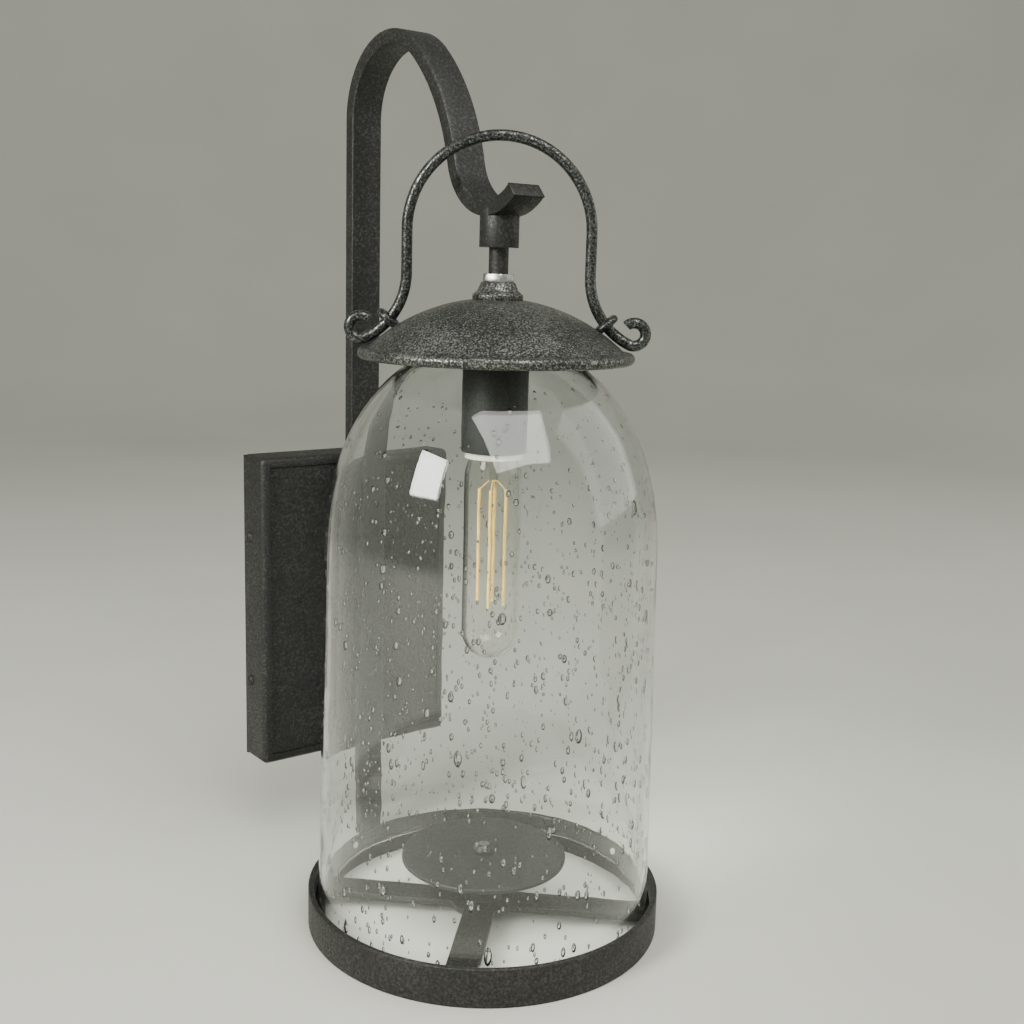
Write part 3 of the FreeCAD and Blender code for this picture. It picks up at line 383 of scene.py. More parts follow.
# Extruded plastic jacket: black, smooth and a little glossy.
JACKET = Moulded("lead_jacket", "#1d1d1e", "#161616", roughness=0.42)
# Glazed porcelain: warm white under a clear gloss.
PORCELAIN = Moulded("glazed_porcelain", "#e6e2d8", "#dcd7cb", roughness=0.35, coat=0.7)
# Phosphor in silicone over the light strips: chalky yellow.
PHOSPHOR = Moulded("phosphor_coating", "#f1cf74", "#e7bd5a", roughness=0.6, skin_mm=0.3)
# Blown soda-lime glass with air seeds, which are modelled: clear, wavy, bright at its rims.
SEEDED = BlownGlass("seeded_glass", "#f6f8f6")
# Drawn bulb glass: thinner and almost without waves.
BULB_CLEAR = BlownGlass("bulb_glass", "#fbfbf8", wave_mm=14.0, wave_depth_mm=0.03)


Finish = PowderCoat | PlatedMetal | Moulded | BlownGlass


class Finishes:
    """Makes each finish once and hands it out."""

    _made: dict[str, bpy.types.Material] = {}

    @classmethod
    def of(cls, finish: Finish) -> bpy.types.Material:
        """Gives the material of a finish, and makes it the first time.

        Args:
            finish: the finish.

        Returns:
            Its material, the same one each time.
        """
        if finish.name not in cls._made:
            cls._made[finish.name] = finish.make()
        return cls._made[finish.name]



# ---- shaping ------------------------------------------------------------------------------------
def tidy(bm: bmesh.types.BMesh) -> None:
    """Merges doubles and points every face outwards.

    Args:
        bm: the shape, in millimetres.
    """
    bmesh.ops.remove_doubles(bm, verts=bm.verts[:], dist=1e-4)
    bmesh.ops.recalc_face_normals(bm, faces=bm.faces[:])


def revolve(profile: Sequence[Point], steps: int = 96, closed: bool = True) -> bmesh.types.BMesh:
    """Spins an outline a full turn about the upright axis through the origin.

    Args:
        profile: (radius, height) corners in order.
        steps: faces round the turn.
        closed: joins the last corner to the first; an outline that starts and ends on the axis is open.

    Returns:
        The turned shape.
    """
    bm = bmesh.new()
    corners = [bm.verts.new((radius, 0.0, height)) for radius, height in profile]
    ends = corners[1:] + corners[:1] if closed else corners[1:]
    sides = [bm.edges.new(pair) for pair in zip(corners, ends)]
    bmesh.ops.spin(bm, geom=corners + sides, axis=UP, cent=(0, 0, 0), angle=FULL_TURN, steps=steps,
                   use_merge=True, use_duplicate=False)
    tidy(bm)
    return bm


def block(size: Sequence[float], centre: Sequence[float]) -> bmesh.types.BMesh:
    """Gives a cuboid of a size about a centre.

    Args:
        size: its width, depth and height.
        centre: its middle.

    Returns:
        The cuboid.
    """
    bm = bmesh.new()
    bmesh.ops.create_cube(bm, size=1.0)
    bmesh.ops.scale(bm, vec=size, verts=bm.verts[:])
    bmesh.ops.translate(bm, vec=centre, verts=bm.verts[:])
    return bm


def ease(bm: bmesh.types.BMesh, width: float, segments: int = 2, sharper_than: float = 25.0,
         edges: Iterable[bmesh.types.BMEdge] | None = None) -> None:
    """Rounds the sharp edges of a shape.

    Args:
        bm: the shape.
        width: how far the rounding reaches on each side.
        segments: faces across the rounding.
        sharper_than: edges whose faces turn by fewer degrees are left.
        edges: the edges to look among, or all of them.
    """
    among = bm.edges[:] if edges is None else list(edges)
    sharp = [edge for edge in among if len(edge.link_faces) == 2
             and edge.calc_face_angle(0.0) > math.radians(sharper_than)]
    bmesh.ops.bevel(bm, geom=sharp, offset=width, offset_type="OFFSET", affect="EDGES",
                    segments=segments, profile=0.5, clamp_overlap=True, material=-1)


class Sweep:
    """A section drawn along straight runs and arcs, as bar and wire are bent."""

    def __init__(self, section: Sequence[Vector]) -> None:
        """Starts with a closed section.

        Args:
            section: the section's corners in space, in order.
        """
        self.bm = bmesh.new()
        corners = [self.bm.verts.new(point) for point in section]
        self.first = [self.bm.edges.new(pair) for pair in zip(corners, corners[1:] + corners[:1])]
        self.tip: list = corners + self.first

    def forward(self, run: Vector, cuts: int = 1) -> "Sweep":
        """Draws the section straight on by a vector, in a number of steps.

        Args:
            run: how far and which way.
            cuts: faces along the run.

        Returns:
            Itself, so that runs and arcs follow one another.
        """
        for _ in range(cuts):
            edges = [item for item in self.tip if isinstance(item, bmesh.types.BMEdge)]
            grown = bmesh.ops.extrude_edge_only(self.bm, edges=edges)["geom"]
            verts = [item for item in grown if isinstance(item, bmesh.types.BMVert)]
            bmesh.ops.translate(self.bm, vec=run / cuts, verts=verts)
            self.tip = verts + [item for item in grown if isinstance(item, bmesh.types.BMEdge)
                                and all(vert in verts for vert in item.verts)]
        return self

    def around(self, centre: Vector, axis: Vector, degrees: float, steps: int) -> "Sweep":
        """Draws the section round an arc.

        Args:
            centre: a point on the arc's axis.
            axis: the axis; the turn follows the right-hand rule about it.
            degrees: how far it turns.
            steps: faces along the arc.

        Returns:
            Itself, so that runs and arcs follow one another.
        """
        spun = bmesh.ops.spin(self.bm, geom=self.tip, cent=centre, axis=axis, angle=math.radians(degrees),
                              steps=steps, use_merge=False, use_duplicate=False)
        self.tip = spun["geom_last"]
        return self

    def closed(self, end_ease: float = 0.0) -> bmesh.types.BMesh:
        """Fills both ends, rounds their rims and gives the shape.

        Args:
            end_ease: how far the rounding of the rims reaches; none if zero.

        Returns:
            The closed shape.
        """
        last = [item for item in self.tip if isinstance(item, bmesh.types.BMEdge)]
        caps = [bmesh.ops.contextual_create(self.bm, geom=ring)["faces"][0] for ring in (self.first, last)]
        rims = [edge for cap in caps for edge in cap.edges]
        tidy(self.bm)
        if end_ease:
            ease(self.bm, end_ease, 3, 45.0, rims)
        return self.bm


def ring_of(centre: Vector, across: Vector, along: Vector, radius: float, corners: int) -> list[Vector]:
    """Gives the corners of a round section in a plane.

    Args:
        centre: the middle of the section.
        across: the first direction of its plane.
        along: the second direction of its plane.
        radius: the radius of the section.
        corners: how many corners it gets.

    Returns:
        The corners in order.
    """
    turn = FULL_TURN / corners
    return [centre + across * (radius * math.cos(turn * k)) + along * (radius * math.sin(turn * k))
            for k in range(corners)]


class Workshop:
    """Turns shapes to finished pieces that ride on the frame."""

    def __init__(self, frame: dict) -> None:
        """Keeps the loaded frame and finds the lantern's axis.
        """
        self.frame = frame
        low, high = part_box("base_ring")
        self.axis = Vector(((low[0] + high[0]) / 2, (low[1] + high[1]) / 2, 0.0)) / MM

    def low(self, node: str) -> Vector:
        """Gives the lowest corner of a node, in millimetres."""
        return Vector(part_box(node)[0]) / MM

    def high(self, node: str) -> Vector:
        """Gives the highest corner of a node, in millimetres."""
        return Vector(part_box(node)[1]) / MM

    def piece(self, bm: bmesh.types.BMesh, name: str, body: Body, finish: Finish, nodes: Sequence[str],
              on_axis: bool = False, sharp: float = 35.0) -> bpy.types.Object:
        """Makes a finished piece from a shape in millimetres.

        Args:
            bm: the shape, which is freed.
            name: the piece's name.
            body: the body that it rides on.
            finish: its surface.
            nodes: the frame's nodes that it stands for.
            on_axis: True if the shape was drawn about the origin and belongs on the lantern's axis.
            sharp: edges that turn by more degrees than this stay crisp.

        Returns:
            The piece's object, at the origin, with its place in its mesh.
        """
        if on_axis:
            bmesh.ops.translate(bm, vec=self.axis, verts=bm.verts[:])
        bmesh.ops.scale(bm, vec=(MM, MM, MM), verts=bm.verts[:])
        mesh = bpy.data.meshes.new(name)
        bm.to_mesh(mesh)
        bm.free()
        mesh.shade_smooth()
        mesh.set_sharp_from_angle(angle=math.radians(sharp))
        mesh.materials.append(Finishes.of(finish))
        made = bpy.data.objects.new(name, mesh)
        bpy.context.scene.collection.objects.link(made)
        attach(made, body.value)
        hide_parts(*nodes)
        log.info("piece %s: %d faces on %s, stands for %s", name, len(mesh.polygons), body.value,
                 ", ".join(nodes))
        return made

    def eased_copy(self, node: str, body: Body, finish: Finish, width: float = 0.25) -> bpy.types.Object:
        """Makes a piece from a node's own shape, with its edges rounded.

        Args:
            node: the frame's node.
            body: the body that it rides on.
            finish: its surface.
            width: how far the rounding reaches.

        Returns:
            The piece's object.
        """
        bm = bmesh.new()
        bm.from_mesh(self.frame["nodes"][node].data)
        bmesh.ops.scale(bm, vec=(PER_MM, PER_MM, PER_MM), verts=bm.verts[:])
        bmesh.ops.remove_doubles(bm, verts=bm.verts[:], dist=1e-3)
        bmesh.ops.dissolve_limit(bm, angle_limit=math.radians(1.0), verts=bm.verts[:], edges=bm.edges[:])
        ease(bm, width, 2, 40.0)
        return self.piece(bm, f"{node}_finished", body, finish, [node])

    def coat(self, node: str, finish: Finish) -> None:
        """Gives a node of the frame its surface, and leaves its shape as it is.

        Args:
            node: the frame's node.
            finish: its surface.
        """
        data = self.frame["nodes"][node].data
        data.materials.clear()
        data.materials.append(Finishes.of(finish))
        log.info("node %s: %s", node, finish.name)


# ---- sub-assemblies -----------------------------------------------------------------------------
@dataclass
class Canopy:
    """The pressed back plate, its let-in panel, and what fastens them to the wall."""

    shop: Workshop
    edge_r: float = 3.3
    border: float = 5.5
    recess: float = 2.2
    face: float = 4.0
    wall: float = 2.0
    recess_edge: float = 0.35
    panel_edge: float = 0.5
    window_w: float = 19.4
    window_h: float = 147.6

    def plate(self) -> None:
        """Builds the plate: a rounded box, sunk in front for the panel and hollow behind."""
        low, high = self.shop.low("back_plate"), self.shop.high("back_plate")
        bm = block(high - low, (low + high) / 2)
        outer = [edge for edge in bm.edges if any(abs(vert.co.y - low.y) < 1e-3 for vert in edge.verts)]
        bmesh.ops.bevel(bm, geom=outer, offset=self.edge_r, offset_type="OFFSET", affect="EDGES", segments=5,
                        profile=0.5, clamp_overlap=True, material=-1)
        front = max((f for f in bm.faces if f.normal.y < -0.99), key=lambda f: f.calc_area())
        bmesh.ops.inset_region(bm, faces=[front], thickness=self.border - self.edge_r, depth=0.0,
                               use_even_offset=True)
        rim = self.sink(bm, front, Vector((0, self.recess, 0)))
        bm.faces.ensure_lookup_table()
        back = max((f for f in bm.faces if f.normal.y > 0.99), key=lambda f: f.calc_area())
        bmesh.ops.inset_region(bm, faces=[back], thickness=self.wall, depth=0.0, use_even_offset=True)
        inside = high.y - low.y - self.face
        self.sink(bm, back, Vector((0, -inside, 0)))
        ease(bm, self.recess_edge, 2, 40.0, [edge for edge in rim if edge.is_valid])
        self.shop.piece(bm, "back_plate_finished", Body.BRACKET, DARK_IRON, ["back_plate"])

    @staticmethod
    def sink(bm: bmesh.types.BMesh, face: bmesh.types.BMFace, move: Vector) -> list[bmesh.types.BMEdge]:
        """Sinks a face with walls round it, and gives the edges of its old rim.

        Args:
            bm: the shape.
            face: the face that moves.
            move: how far and which way.

        Returns:
            The edges that went round the face.
        """
        rim = list(face.edges)
        grown = bmesh.ops.extrude_discrete_faces(bm, faces=[face])["faces"][0]
        loops = list(grown.edges)
        bmesh.ops.translate(bm, vec=move, verts=list(grown.verts))
        bmesh.ops.bridge_loops(bm, edges=rim + loops)
        return rim

    def panel(self) -> None:
        """Builds the panel, with a window where the arm lies on the plate."""
        low, high = self.shop.low("front_panel"), self.shop.high("front_panel")
        across = (low.x, -self.window_w / 2, self.window_w / 2, high.x)
        upward = (low.z, -self.window_h / 2, self.window_h / 2, high.z)
        bm = bmesh.new()
        grid = {(i, k): bm.verts.new((x, high.y, z))
                for i, x in enumerate(across) for k, z in enumerate(upward)}
        for i in range(3):
            for k in range(3):
                if (i, k) != (1, 1):
                    bm.faces.new([grid[i, k], grid[i + 1, k], grid[i + 1, k + 1], grid[i, k + 1]])
        grown = bmesh.ops.extrude_face_region(bm, geom=bm.faces[:], use_keep_orig=True)["geom"]
        front = [item for item in grown if isinstance(item, bmesh.types.BMVert)]
        bmesh.ops.translate(bm, vec=(0, low.y - high.y, 0), verts=front)
        tidy(bm)
        fore = set(front)
        ease(bm, self.panel_edge, 3, 40.0, [edge for edge in bm.edges if fore.issuperset(edge.verts)])
        self.shop.piece(bm, "front_panel_finished", Body.BRACKET, PANEL_IRON, ["front_panel"])

    def build(self) -> None:
        """Builds the canopy and dresses what is behind it."""
        self.plate()
        self.panel()
        self.shop.eased_copy("canopy_screws", Body.BRACKET, SCREW_PAINT, 0.15)
        self.shop.eased_copy("mounting_bracket", Body.BRACKET, ZINC, 0.2)
        for node, finish in {"wall_gasket": FOAM, "ground_screw": GREEN_SCREW, "arm_screws": ZINC,
                             "arm_nut_blocks": ZINC, "wire_bushing": RUBBER, "lead_arm": JACKET,
                             "terminal_block": NYLON}.items():
            self.shop.coat(node, finish)


@dataclass
class StrapArm:
    """The hollow strap, bent into an arch and a hook, and the swivel housing under the hook."""

    shop: Workshop
    width: float = 19.0
    depth: float = 8.0
    wall: float = 1.2
    edge_r: float = 0.9
    arch_r: float = 40.5
    arch_turn: float = 130.0
    hook_r: float = 31.0
    tip_turn: float = 42.0

    def section(self, centre: Vector) -> list[Vector]:
        """Gives the strap's section: a rectangle with rounded corners, level, about a centre.

        Args:
            centre: the middle of the section.

        Returns:
            The corners in order.
        """
        corners = []
        half_x, half_y = self.width / 2 - self.edge_r, self.depth / 2 - self.edge_r
        for quarter, (sx, sy) in enumerate(((1, 1), (-1, 1), (-1, -1), (1, -1))):
            pivot = centre + Vector((sx * half_x, sy * half_y, 0))
            for k in range(4):
                angle = math.radians(90.0 * quarter + 30.0 * k)
                corners.append(pivot + Vector((math.cos(angle), math.sin(angle), 0)) * self.edge_r)
        return corners

    def fall(self, arch: Vector, hook: Vector) -> tuple[Vector, float]:
        """Finds the wide arc that joins the arch smoothly to the hook.

        Args:
            arch: the arch's centre.
            hook: the hook's centre.

        Returns:
            The arc's centre, and the slope in degrees at which it meets the hook.
        """
        leaves = math.radians(180.0 - self.arch_turn)
        leave = OUT * math.cos(leaves) + UP * math.sin(leaves)
        span = hook - arch
        both = self.arch_r + self.hook_r
        centre = arch - leave * (span.length_squared - both ** 2) / (2.0 * (both - span.dot(leave)))
        reach = hook - centre
        return centre, 90.0 - math.degrees(math.atan2(reach.z, -reach.y))

    def arm(self) -> None:
        """Bends the strap along its run, its arch, its fall and its hook."""
        low, high = self.shop.low("arm"), self.shop.high("arm")
        run_y = high.y - self.depth / 2
        arch = Vector((0, run_y - self.arch_r, high.z - self.depth / 2 - self.arch_r))
        housing_top = self.shop.high("swivel_housing").z
        hook = Vector((0, self.shop.axis.y, housing_top + self.hook_r))
        centre, fall = self.fall(arch, hook)
        sweep = Sweep(self.section(Vector((0, run_y, low.z))))
        sweep.forward(Vector((0, 0, arch.z - low.z)), 6).around(arch, RIGHT, self.arch_turn, 40)
        sweep.around(centre, RIGHT, fall + 90.0 - self.arch_turn, 18)
        sweep.around(hook, -RIGHT, fall + self.tip_turn, 36)
        bm = sweep.bm
        tidy(bm)
        bmesh.ops.solidify(bm, geom=bm.faces[:], thickness=self.wall)
        self.shop.piece(bm, "arm_finished", Body.BRACKET, DARK_IRON, ["arm"])

    def build(self) -> None:
        """Builds the arm, its end plugs and the fixed part of the swivel."""
        self.arm()
        for plug in ("arm_tail_plug", "arm_tip_plug"):
            self.shop.eased_copy(plug, Body.BRACKET, DARK_IRON, 0.3)
        self.shop.eased_copy("swivel_housing", Body.BRACKET, DARK_IRON, 0.5)
        self.shop.coat("swivel_ring", ZINC)


@dataclass
class Cap:
    """The spun cap with its rolled rim, the collar and nuts on the stem, and the two eyes."""

    shop: Workshop
    ball_r: float = 95.4
    sheet: float = 1.2
    flat_r: float = 14.0
    hole_r: float = 5.3
    rim_r: float = 70.7
    bead_r: float = 2.9
    collar_edge: float = 0.4
    collar_profile: tuple[Point, ...] = ((5.3, 0.0), (13.0, 0.0), (13.0, 2.5), (10.5, 4.5), (9.0, 8.0),
                                         (8.3, 9.0), (5.3, 9.0))

    def cap(self) -> None:
        """Spins the cap from its flat top down the ball, round the bead and back inside."""
        bead_x = self.rim_r - self.bead_r
        rim_angle = math.acos(bead_x / self.ball_r)
        bead_z = self.shop.low("cap").z + self.bead_r
        ball_z = bead_z + self.sheet / 2 - self.ball_r * math.sin(rim_angle)
        slope = math.degrees(rim_angle) + 90.0
        flat_angle = math.acos(self.flat_r / self.ball_r)
        steps = 20
        reach = rim_angle + self.bead_r / self.ball_r
        angles = [flat_angle + (reach - flat_angle) * k / steps for k in range(steps + 1)]

        def on_ball(radius: float, angle: float) -> Point:
            """Gives a point of the sheet at an angle above the ball's middle."""
            return radius * math.cos(angle), ball_z + radius * math.sin(angle)

        outer = [on_ball(self.ball_r, angle) for angle in angles]
        inner = [on_ball(self.ball_r - self.sheet, angle) for angle in reversed(angles)]
        bead = []
        for k in range(1, 24):
            angle = math.radians(slope - 9.0 - 332.0 * k / 24)
            bead.append((bead_x + self.bead_r * math.cos(angle), bead_z + self.bead_r * math.sin(angle)))
        profile = [(self.hole_r, outer[0][1]), *outer, *bead, *inner, (self.hole_r, inner[-1][1])]
        bm = revolve(profile, 160)
        self.shop.piece(bm, "cap_finished", Body.LANTERN, PEWTER, ["cap"], on_axis=True, sharp=50.0)

    def collar(self) -> None:
        """Turns the stepped collar that seats the stem on the cap."""
        base = self.shop.low("cap_collar").z
        bm = revolve([(r, base + z) for r, z in self.collar_profile], 64)
        ease(bm, self.collar_edge, 2, 20.0)
        self.shop.piece(bm, "cap_collar_finished", Body.LANTERN, PEWTER, ["cap_collar"], on_axis=True)

    def build(self) -> None:
        """Builds the cap and dresses the stem's parts."""
        self.cap()
        self.collar()
        for nut in ("stem_top_nut", "cap_nut", "seat_nut", "cup_nut"):
            self.shop.eased_copy(nut, Body.LANTERN, ZINC, 0.3)
        for node, finish in {"bail_eye_left": PEWTER_WIRE, "bail_eye_right": PEWTER_WIRE, "stem": DARK_IRON,
                             "swivel_washer": NYLON, "upper_gasket": RUBBER, "glass_seat": ZINC,
                             "lower_gasket": RUBBER, "lead_stem": JACKET}.items():
            self.shop.coat(node, finish)


@dataclass
class Bail:
    """The bail of round wire: an arch, two straight legs, two flares and two open curls."""

    shop: Workshop
    wire_r: float = 2.8
    arch_r: float = 46.5
    leg: float = 21.6
    flare_r: float = 37.0
    flare_turn: float = 64.0
    curl_r: float = 5.8
    curl_turn: float = 250.0
    tip_edge: float = 0.8
    turned: float = -39.0

    def build(self) -> None:
        """Bends the wire from one curl's tip to the other's, and turns it to its place."""
        arch_z = self.shop.high("bail").z - self.arch_r - self.wire_r
        sides = {}
        for hand in (-1.0, 1.0):
            across = RIGHT * hand
            flare = across * (self.arch_r + self.flare_r) + UP * (arch_z - self.leg)
            toward = math.radians(180.0 + self.flare_turn)
            curl = flare + (across * math.cos(toward) + UP * math.sin(toward)) * (self.flare_r - self.curl_r)
            sides[hand] = (across, flare, curl)
        across, flare, curl = sides[-1.0]
        tip = math.radians(180.0 + self.flare_turn + self.curl_turn)
        radial = across * math.cos(tip) + UP * math.sin(tip)
        sweep = Sweep(ring_of(curl + radial * self.curl_r, radial, OUT, self.wire_r, 20))
        sweep.around(curl, OUT, self.curl_turn, 28).around(flare, OUT, self.flare_turn, 20)
        sweep.forward(UP * self.leg, 4).around(UP * arch_z, -OUT, 180.0, 56).forward(-UP * self.leg, 4)
        _, flare, curl = sides[1.0]
        sweep.around(flare, OUT, self.flare_turn, 20).around(curl, OUT, self.curl_turn, 28)
        bm = sweep.closed(self.tip_edge)
        turn = Matrix.Rotation(math.radians(self.turned), 3, "Z")
        bmesh.ops.rotate(bm, cent=(0, 0, 0), matrix=turn, verts=bm.verts[:])
        self.shop.piece(bm, "bail_finished", Body.BAIL, PEWTER_WIRE, ["bail"], on_axis=True, sharp=60.0)


@dataclass
class BellGlass:
    """The blown bell, with a bead round its foot, a hole in its flat top and seeds in its wall."""

    shop: Workshop
    foot_r: float = 90.2
    shoulder_r: float = 87.0
    shoulder_z: float = 51.3
    dome_h: float = 119.4
    dome_power: float = 2.35
    top_r: float = 28.0
    thick: float = 3.5
    hole_r: float = 8.0
    bead: float = 1.4
    bead_h: float = 3.0
    seeds: int = 2600
    seed_half: float = 0.62
    seed_largest: float = 2.1
    seed_spread: float = 0.45
    draw_seed: int = 7
    foot_z: float = field(init=False, default=0.0)

    def dome(self, shoulder_r: float, dome_h: float, top_r: float, steps: int) -> list[Point]:
        """Gives the corners of the dome, from its shoulder up to a radius.

        Args:
            shoulder_r: the radius at the shoulder.
            dome_h: how high the dome would rise if it ran to a point.
            top_r: the radius at which it stops.
            steps: faces from the shoulder to the top.

        Returns:
            (radius, height) corners, upwards.
        """
        top = dome_h * (1 - (top_r / shoulder_r) ** 2) ** (1 / self.dome_power)
        rises = [top * math.sin(math.radians(90.0 * k / steps)) for k in range(steps + 1)]
        return [(shoulder_r * math.sqrt(1 - (rise / dome_h) ** self.dome_power), self.shoulder_z + rise)
                for rise in rises]

    def wall_at(self, z: float) -> tuple[float, float]:
        """Gives the outer radius at a height, and how fast it changes with height.

        Args:
            z: the height.

        Returns:
            The radius and its slope.
        """
        if z < self.shoulder_z:
            slope = (self.shoulder_r - self.foot_r) / (self.shoulder_z - self.foot_z)
            return self.foot_r + slope * (z - self.foot_z), slope
        share = (z - self.shoulder_z) / self.dome_h
        radius = self.shoulder_r * math.sqrt(1 - share ** self.dome_power)
        slope = -0.5 * self.shoulder_r ** 2 * self.dome_power * share ** (self.dome_power - 1)
        return radius, slope / (self.dome_h * radius)

    def seed_spot(self, draw: random.Random) -> tuple[float, float, float, float]:
        """Draws one seed's height, width, length and depth in the wall.

        Args:
            draw: the source of chance.

        Returns:
            The seed's height, half width, half length and half depth.
        """
        top = self.shoulder_z + self.dome_h * 0.92
        while True:
            z = draw.uniform(self.foot_z + 6.0, top)
            up = (z - self.foot_z) / (top - self.foot_z)
            crowd = 1.0 if up < 0.72 else max(0.12, 1.0 - (up - 0.72) * 3.4)
            if draw.random() < crowd:
                break
        size = min(self.seed_largest, self.seed_half * math.exp(draw.gauss(0.0, self.seed_spread)))
        stretch = 1.1 + 1.2 * (1.0 - up) * draw.uniform(0.5, 1.2)
        return z, size, size * stretch, min(size * 0.75, self.thick * 0.36)

    def seed(self, bm: bmesh.types.BMesh) -> None:
        """Adds the air seeds as small hollows inside the wall, their faces towards the air.

        Args:
            bm: the bell's wall, which gets them.
        """
        draw = random.Random(self.draw_seed)
        ball = bmesh.new()
        bmesh.ops.create_uvsphere(ball, u_segments=7, v_segments=5, radius=1.0)
        bmesh.ops.recalc_face_normals(ball, faces=ball.faces[:])
        bmesh.ops.reverse_faces(ball, faces=ball.faces[:])
        hollow = bpy.data.meshes.new("hollow")
        for _ in range(self.seeds):
            z, wide, tall, deep = self.seed_spot(draw)
            radius, slope = self.wall_at(z)
            angle = draw.uniform(0.0, FULL_TURN)
            outward = Vector((math.cos(angle), math.sin(angle), -slope)).normalized()
            sideways = Vector((-math.sin(angle), math.cos(angle), 0.0))
            along = outward.cross(sideways)
            inset = draw.uniform(0.42, 0.58) * self.thick
            spot = Vector((math.cos(angle) * radius, math.sin(angle) * radius, z)) - outward * inset
            place = Matrix((sideways * wide, outward * deep, -along * tall)).transposed().to_4x4()
            ball.to_mesh(hollow)
            hollow.transform(Matrix.Translation(spot) @ place)
            bm.from_mesh(hollow)
        ball.free()
        bpy.data.meshes.remove(hollow)

    def build(self) -> None:
        """Turns the bell's wall and adds the seeds."""
        self.foot_z = self.shop.low("glass").z
        top_z = self.shop.high("glass").z
        outer = self.dome(self.shoulder_r, self.dome_h, self.top_r, 22)
        inner_shoulder = self.shoulder_r - self.thick
        inner_h = self.dome_h - self.thick
        rise = (top_z - self.thick - self.shoulder_z) / inner_h
        inner_top_r = inner_shoulder * math.sqrt(1 - rise ** self.dome_power)
        inner = self.dome(inner_shoulder, inner_h, inner_top_r, 22)
        neck_z = self.foot_z + self.bead_h
        neck_r = self.wall_at(neck_z)[0]
        flank = [(self.wall_at(z)[0], z) for z in (-100.0, -60.0, -20.0, 20.0)]
        bead_r = self.foot_r + self.bead
        foot = [(self.foot_r - self.thick, self.foot_z), (bead_r - 0.6, self.foot_z),
                (bead_r, self.foot_z + 0.6), (neck_r + self.bead, neck_z - 0.8), (neck_r, neck_z)]
        inside = [(r - self.thick, z) for r, z in reversed(flank)]
        profile = [*foot, *flank, *outer, (self.hole_r, top_z), (self.hole_r, top_z - self.thick),
                   *reversed(inner), *inside]
        bm = revolve(profile, 160)
        self.seed(bm)
        self.shop.piece(bm, "glass_finished", Body.LANTERN, SEEDED, ["glass"], on_axis=True, sharp=55.0)


@dataclass
class LampHolder:
    """The cup under the glass's top, the porcelain holder inside it and the tubular bulb."""

    shop: Workshop
    cup_r: float = 17.0
    cup_wall: float = 1.5
    cup_edge: float = 0.6
    stem_hole_r: float = 5.3
    bulb_r: float = 15.0
    bulb_wall: float = 0.8
    neck_r: float = 12.19
    shoulder_drop: float = 16.0
    neck_length: float = 3.0

    def cup(self) -> None:
        """Turns the cup, open downwards."""
        low, top = self.shop.low("lamp_cup").z, self.shop.high("lamp_cup").z
        inside = self.cup_r - self.cup_wall
        bm = revolve([(self.stem_hole_r, top), (self.cup_r, top), (self.cup_r, low), (inside, low),
                      (inside, top - self.cup_wall), (self.stem_hole_r, top - self.cup_wall)], 96)
        ease(bm, self.cup_edge, 3, 40.0)
        self.shop.piece(bm, "lamp_cup_finished", Body.LANTERN, GREY_SATIN, ["lamp_cup"], on_axis=True)

    def envelope(self) -> None:
        """Turns the bulb's thin glass: a round end, a straight tube and a waist into the base."""
        low, top = self.shop.low("bulb_glass").z, self.shop.high("bulb_glass").z
        neck_z = top - self.neck_length

        def outline(inset: float) -> list[Point]:
            """Gives the corners from the round end's tip up to the mouth.

            Args:
                inset: how far inside the outer skin the outline lies.

            Returns:
                (radius, height) corners.
            """
            radius, neck = self.bulb_r - inset, self.neck_r - inset
            turns = [math.radians(9.0 * k) for k in range(11)]
            end = [(radius * math.sin(turn), low + self.bulb_r - radius * math.cos(turn)) for turn in turns]
            waist = []
            for k in range(9):
                share = (1 - math.cos(math.pi * k / 8)) / 2
                waist.append((radius + (neck - radius) * share, neck_z - self.shoulder_drop * (1 - k / 8)))
            return [*end, *waist, (neck, top)]

        bm = revolve([*outline(0.0), *reversed(outline(self.bulb_wall))], 64, closed=False)
        self.shop.piece(bm, "bulb_glass_finished", Body.BULB, BULB_CLEAR, ["bulb_glass"], on_axis=True)

    def build(self) -> None:
        """Builds the cup and the bulb, and dresses what they hold."""
        self.cup()
        self.envelope()
        for node, finish in {"socket_insulator": PORCELAIN, "screw_shell": BRASS, "centre_contact": BRASS,
                             "bulb_base": NICKEL, "bulb_contact": BRASS, "bulb_mount": BULB_CLEAR,
                             "bulb_filaments": PHOSPHOR}.items():
            self.shop.coat(node, finish)


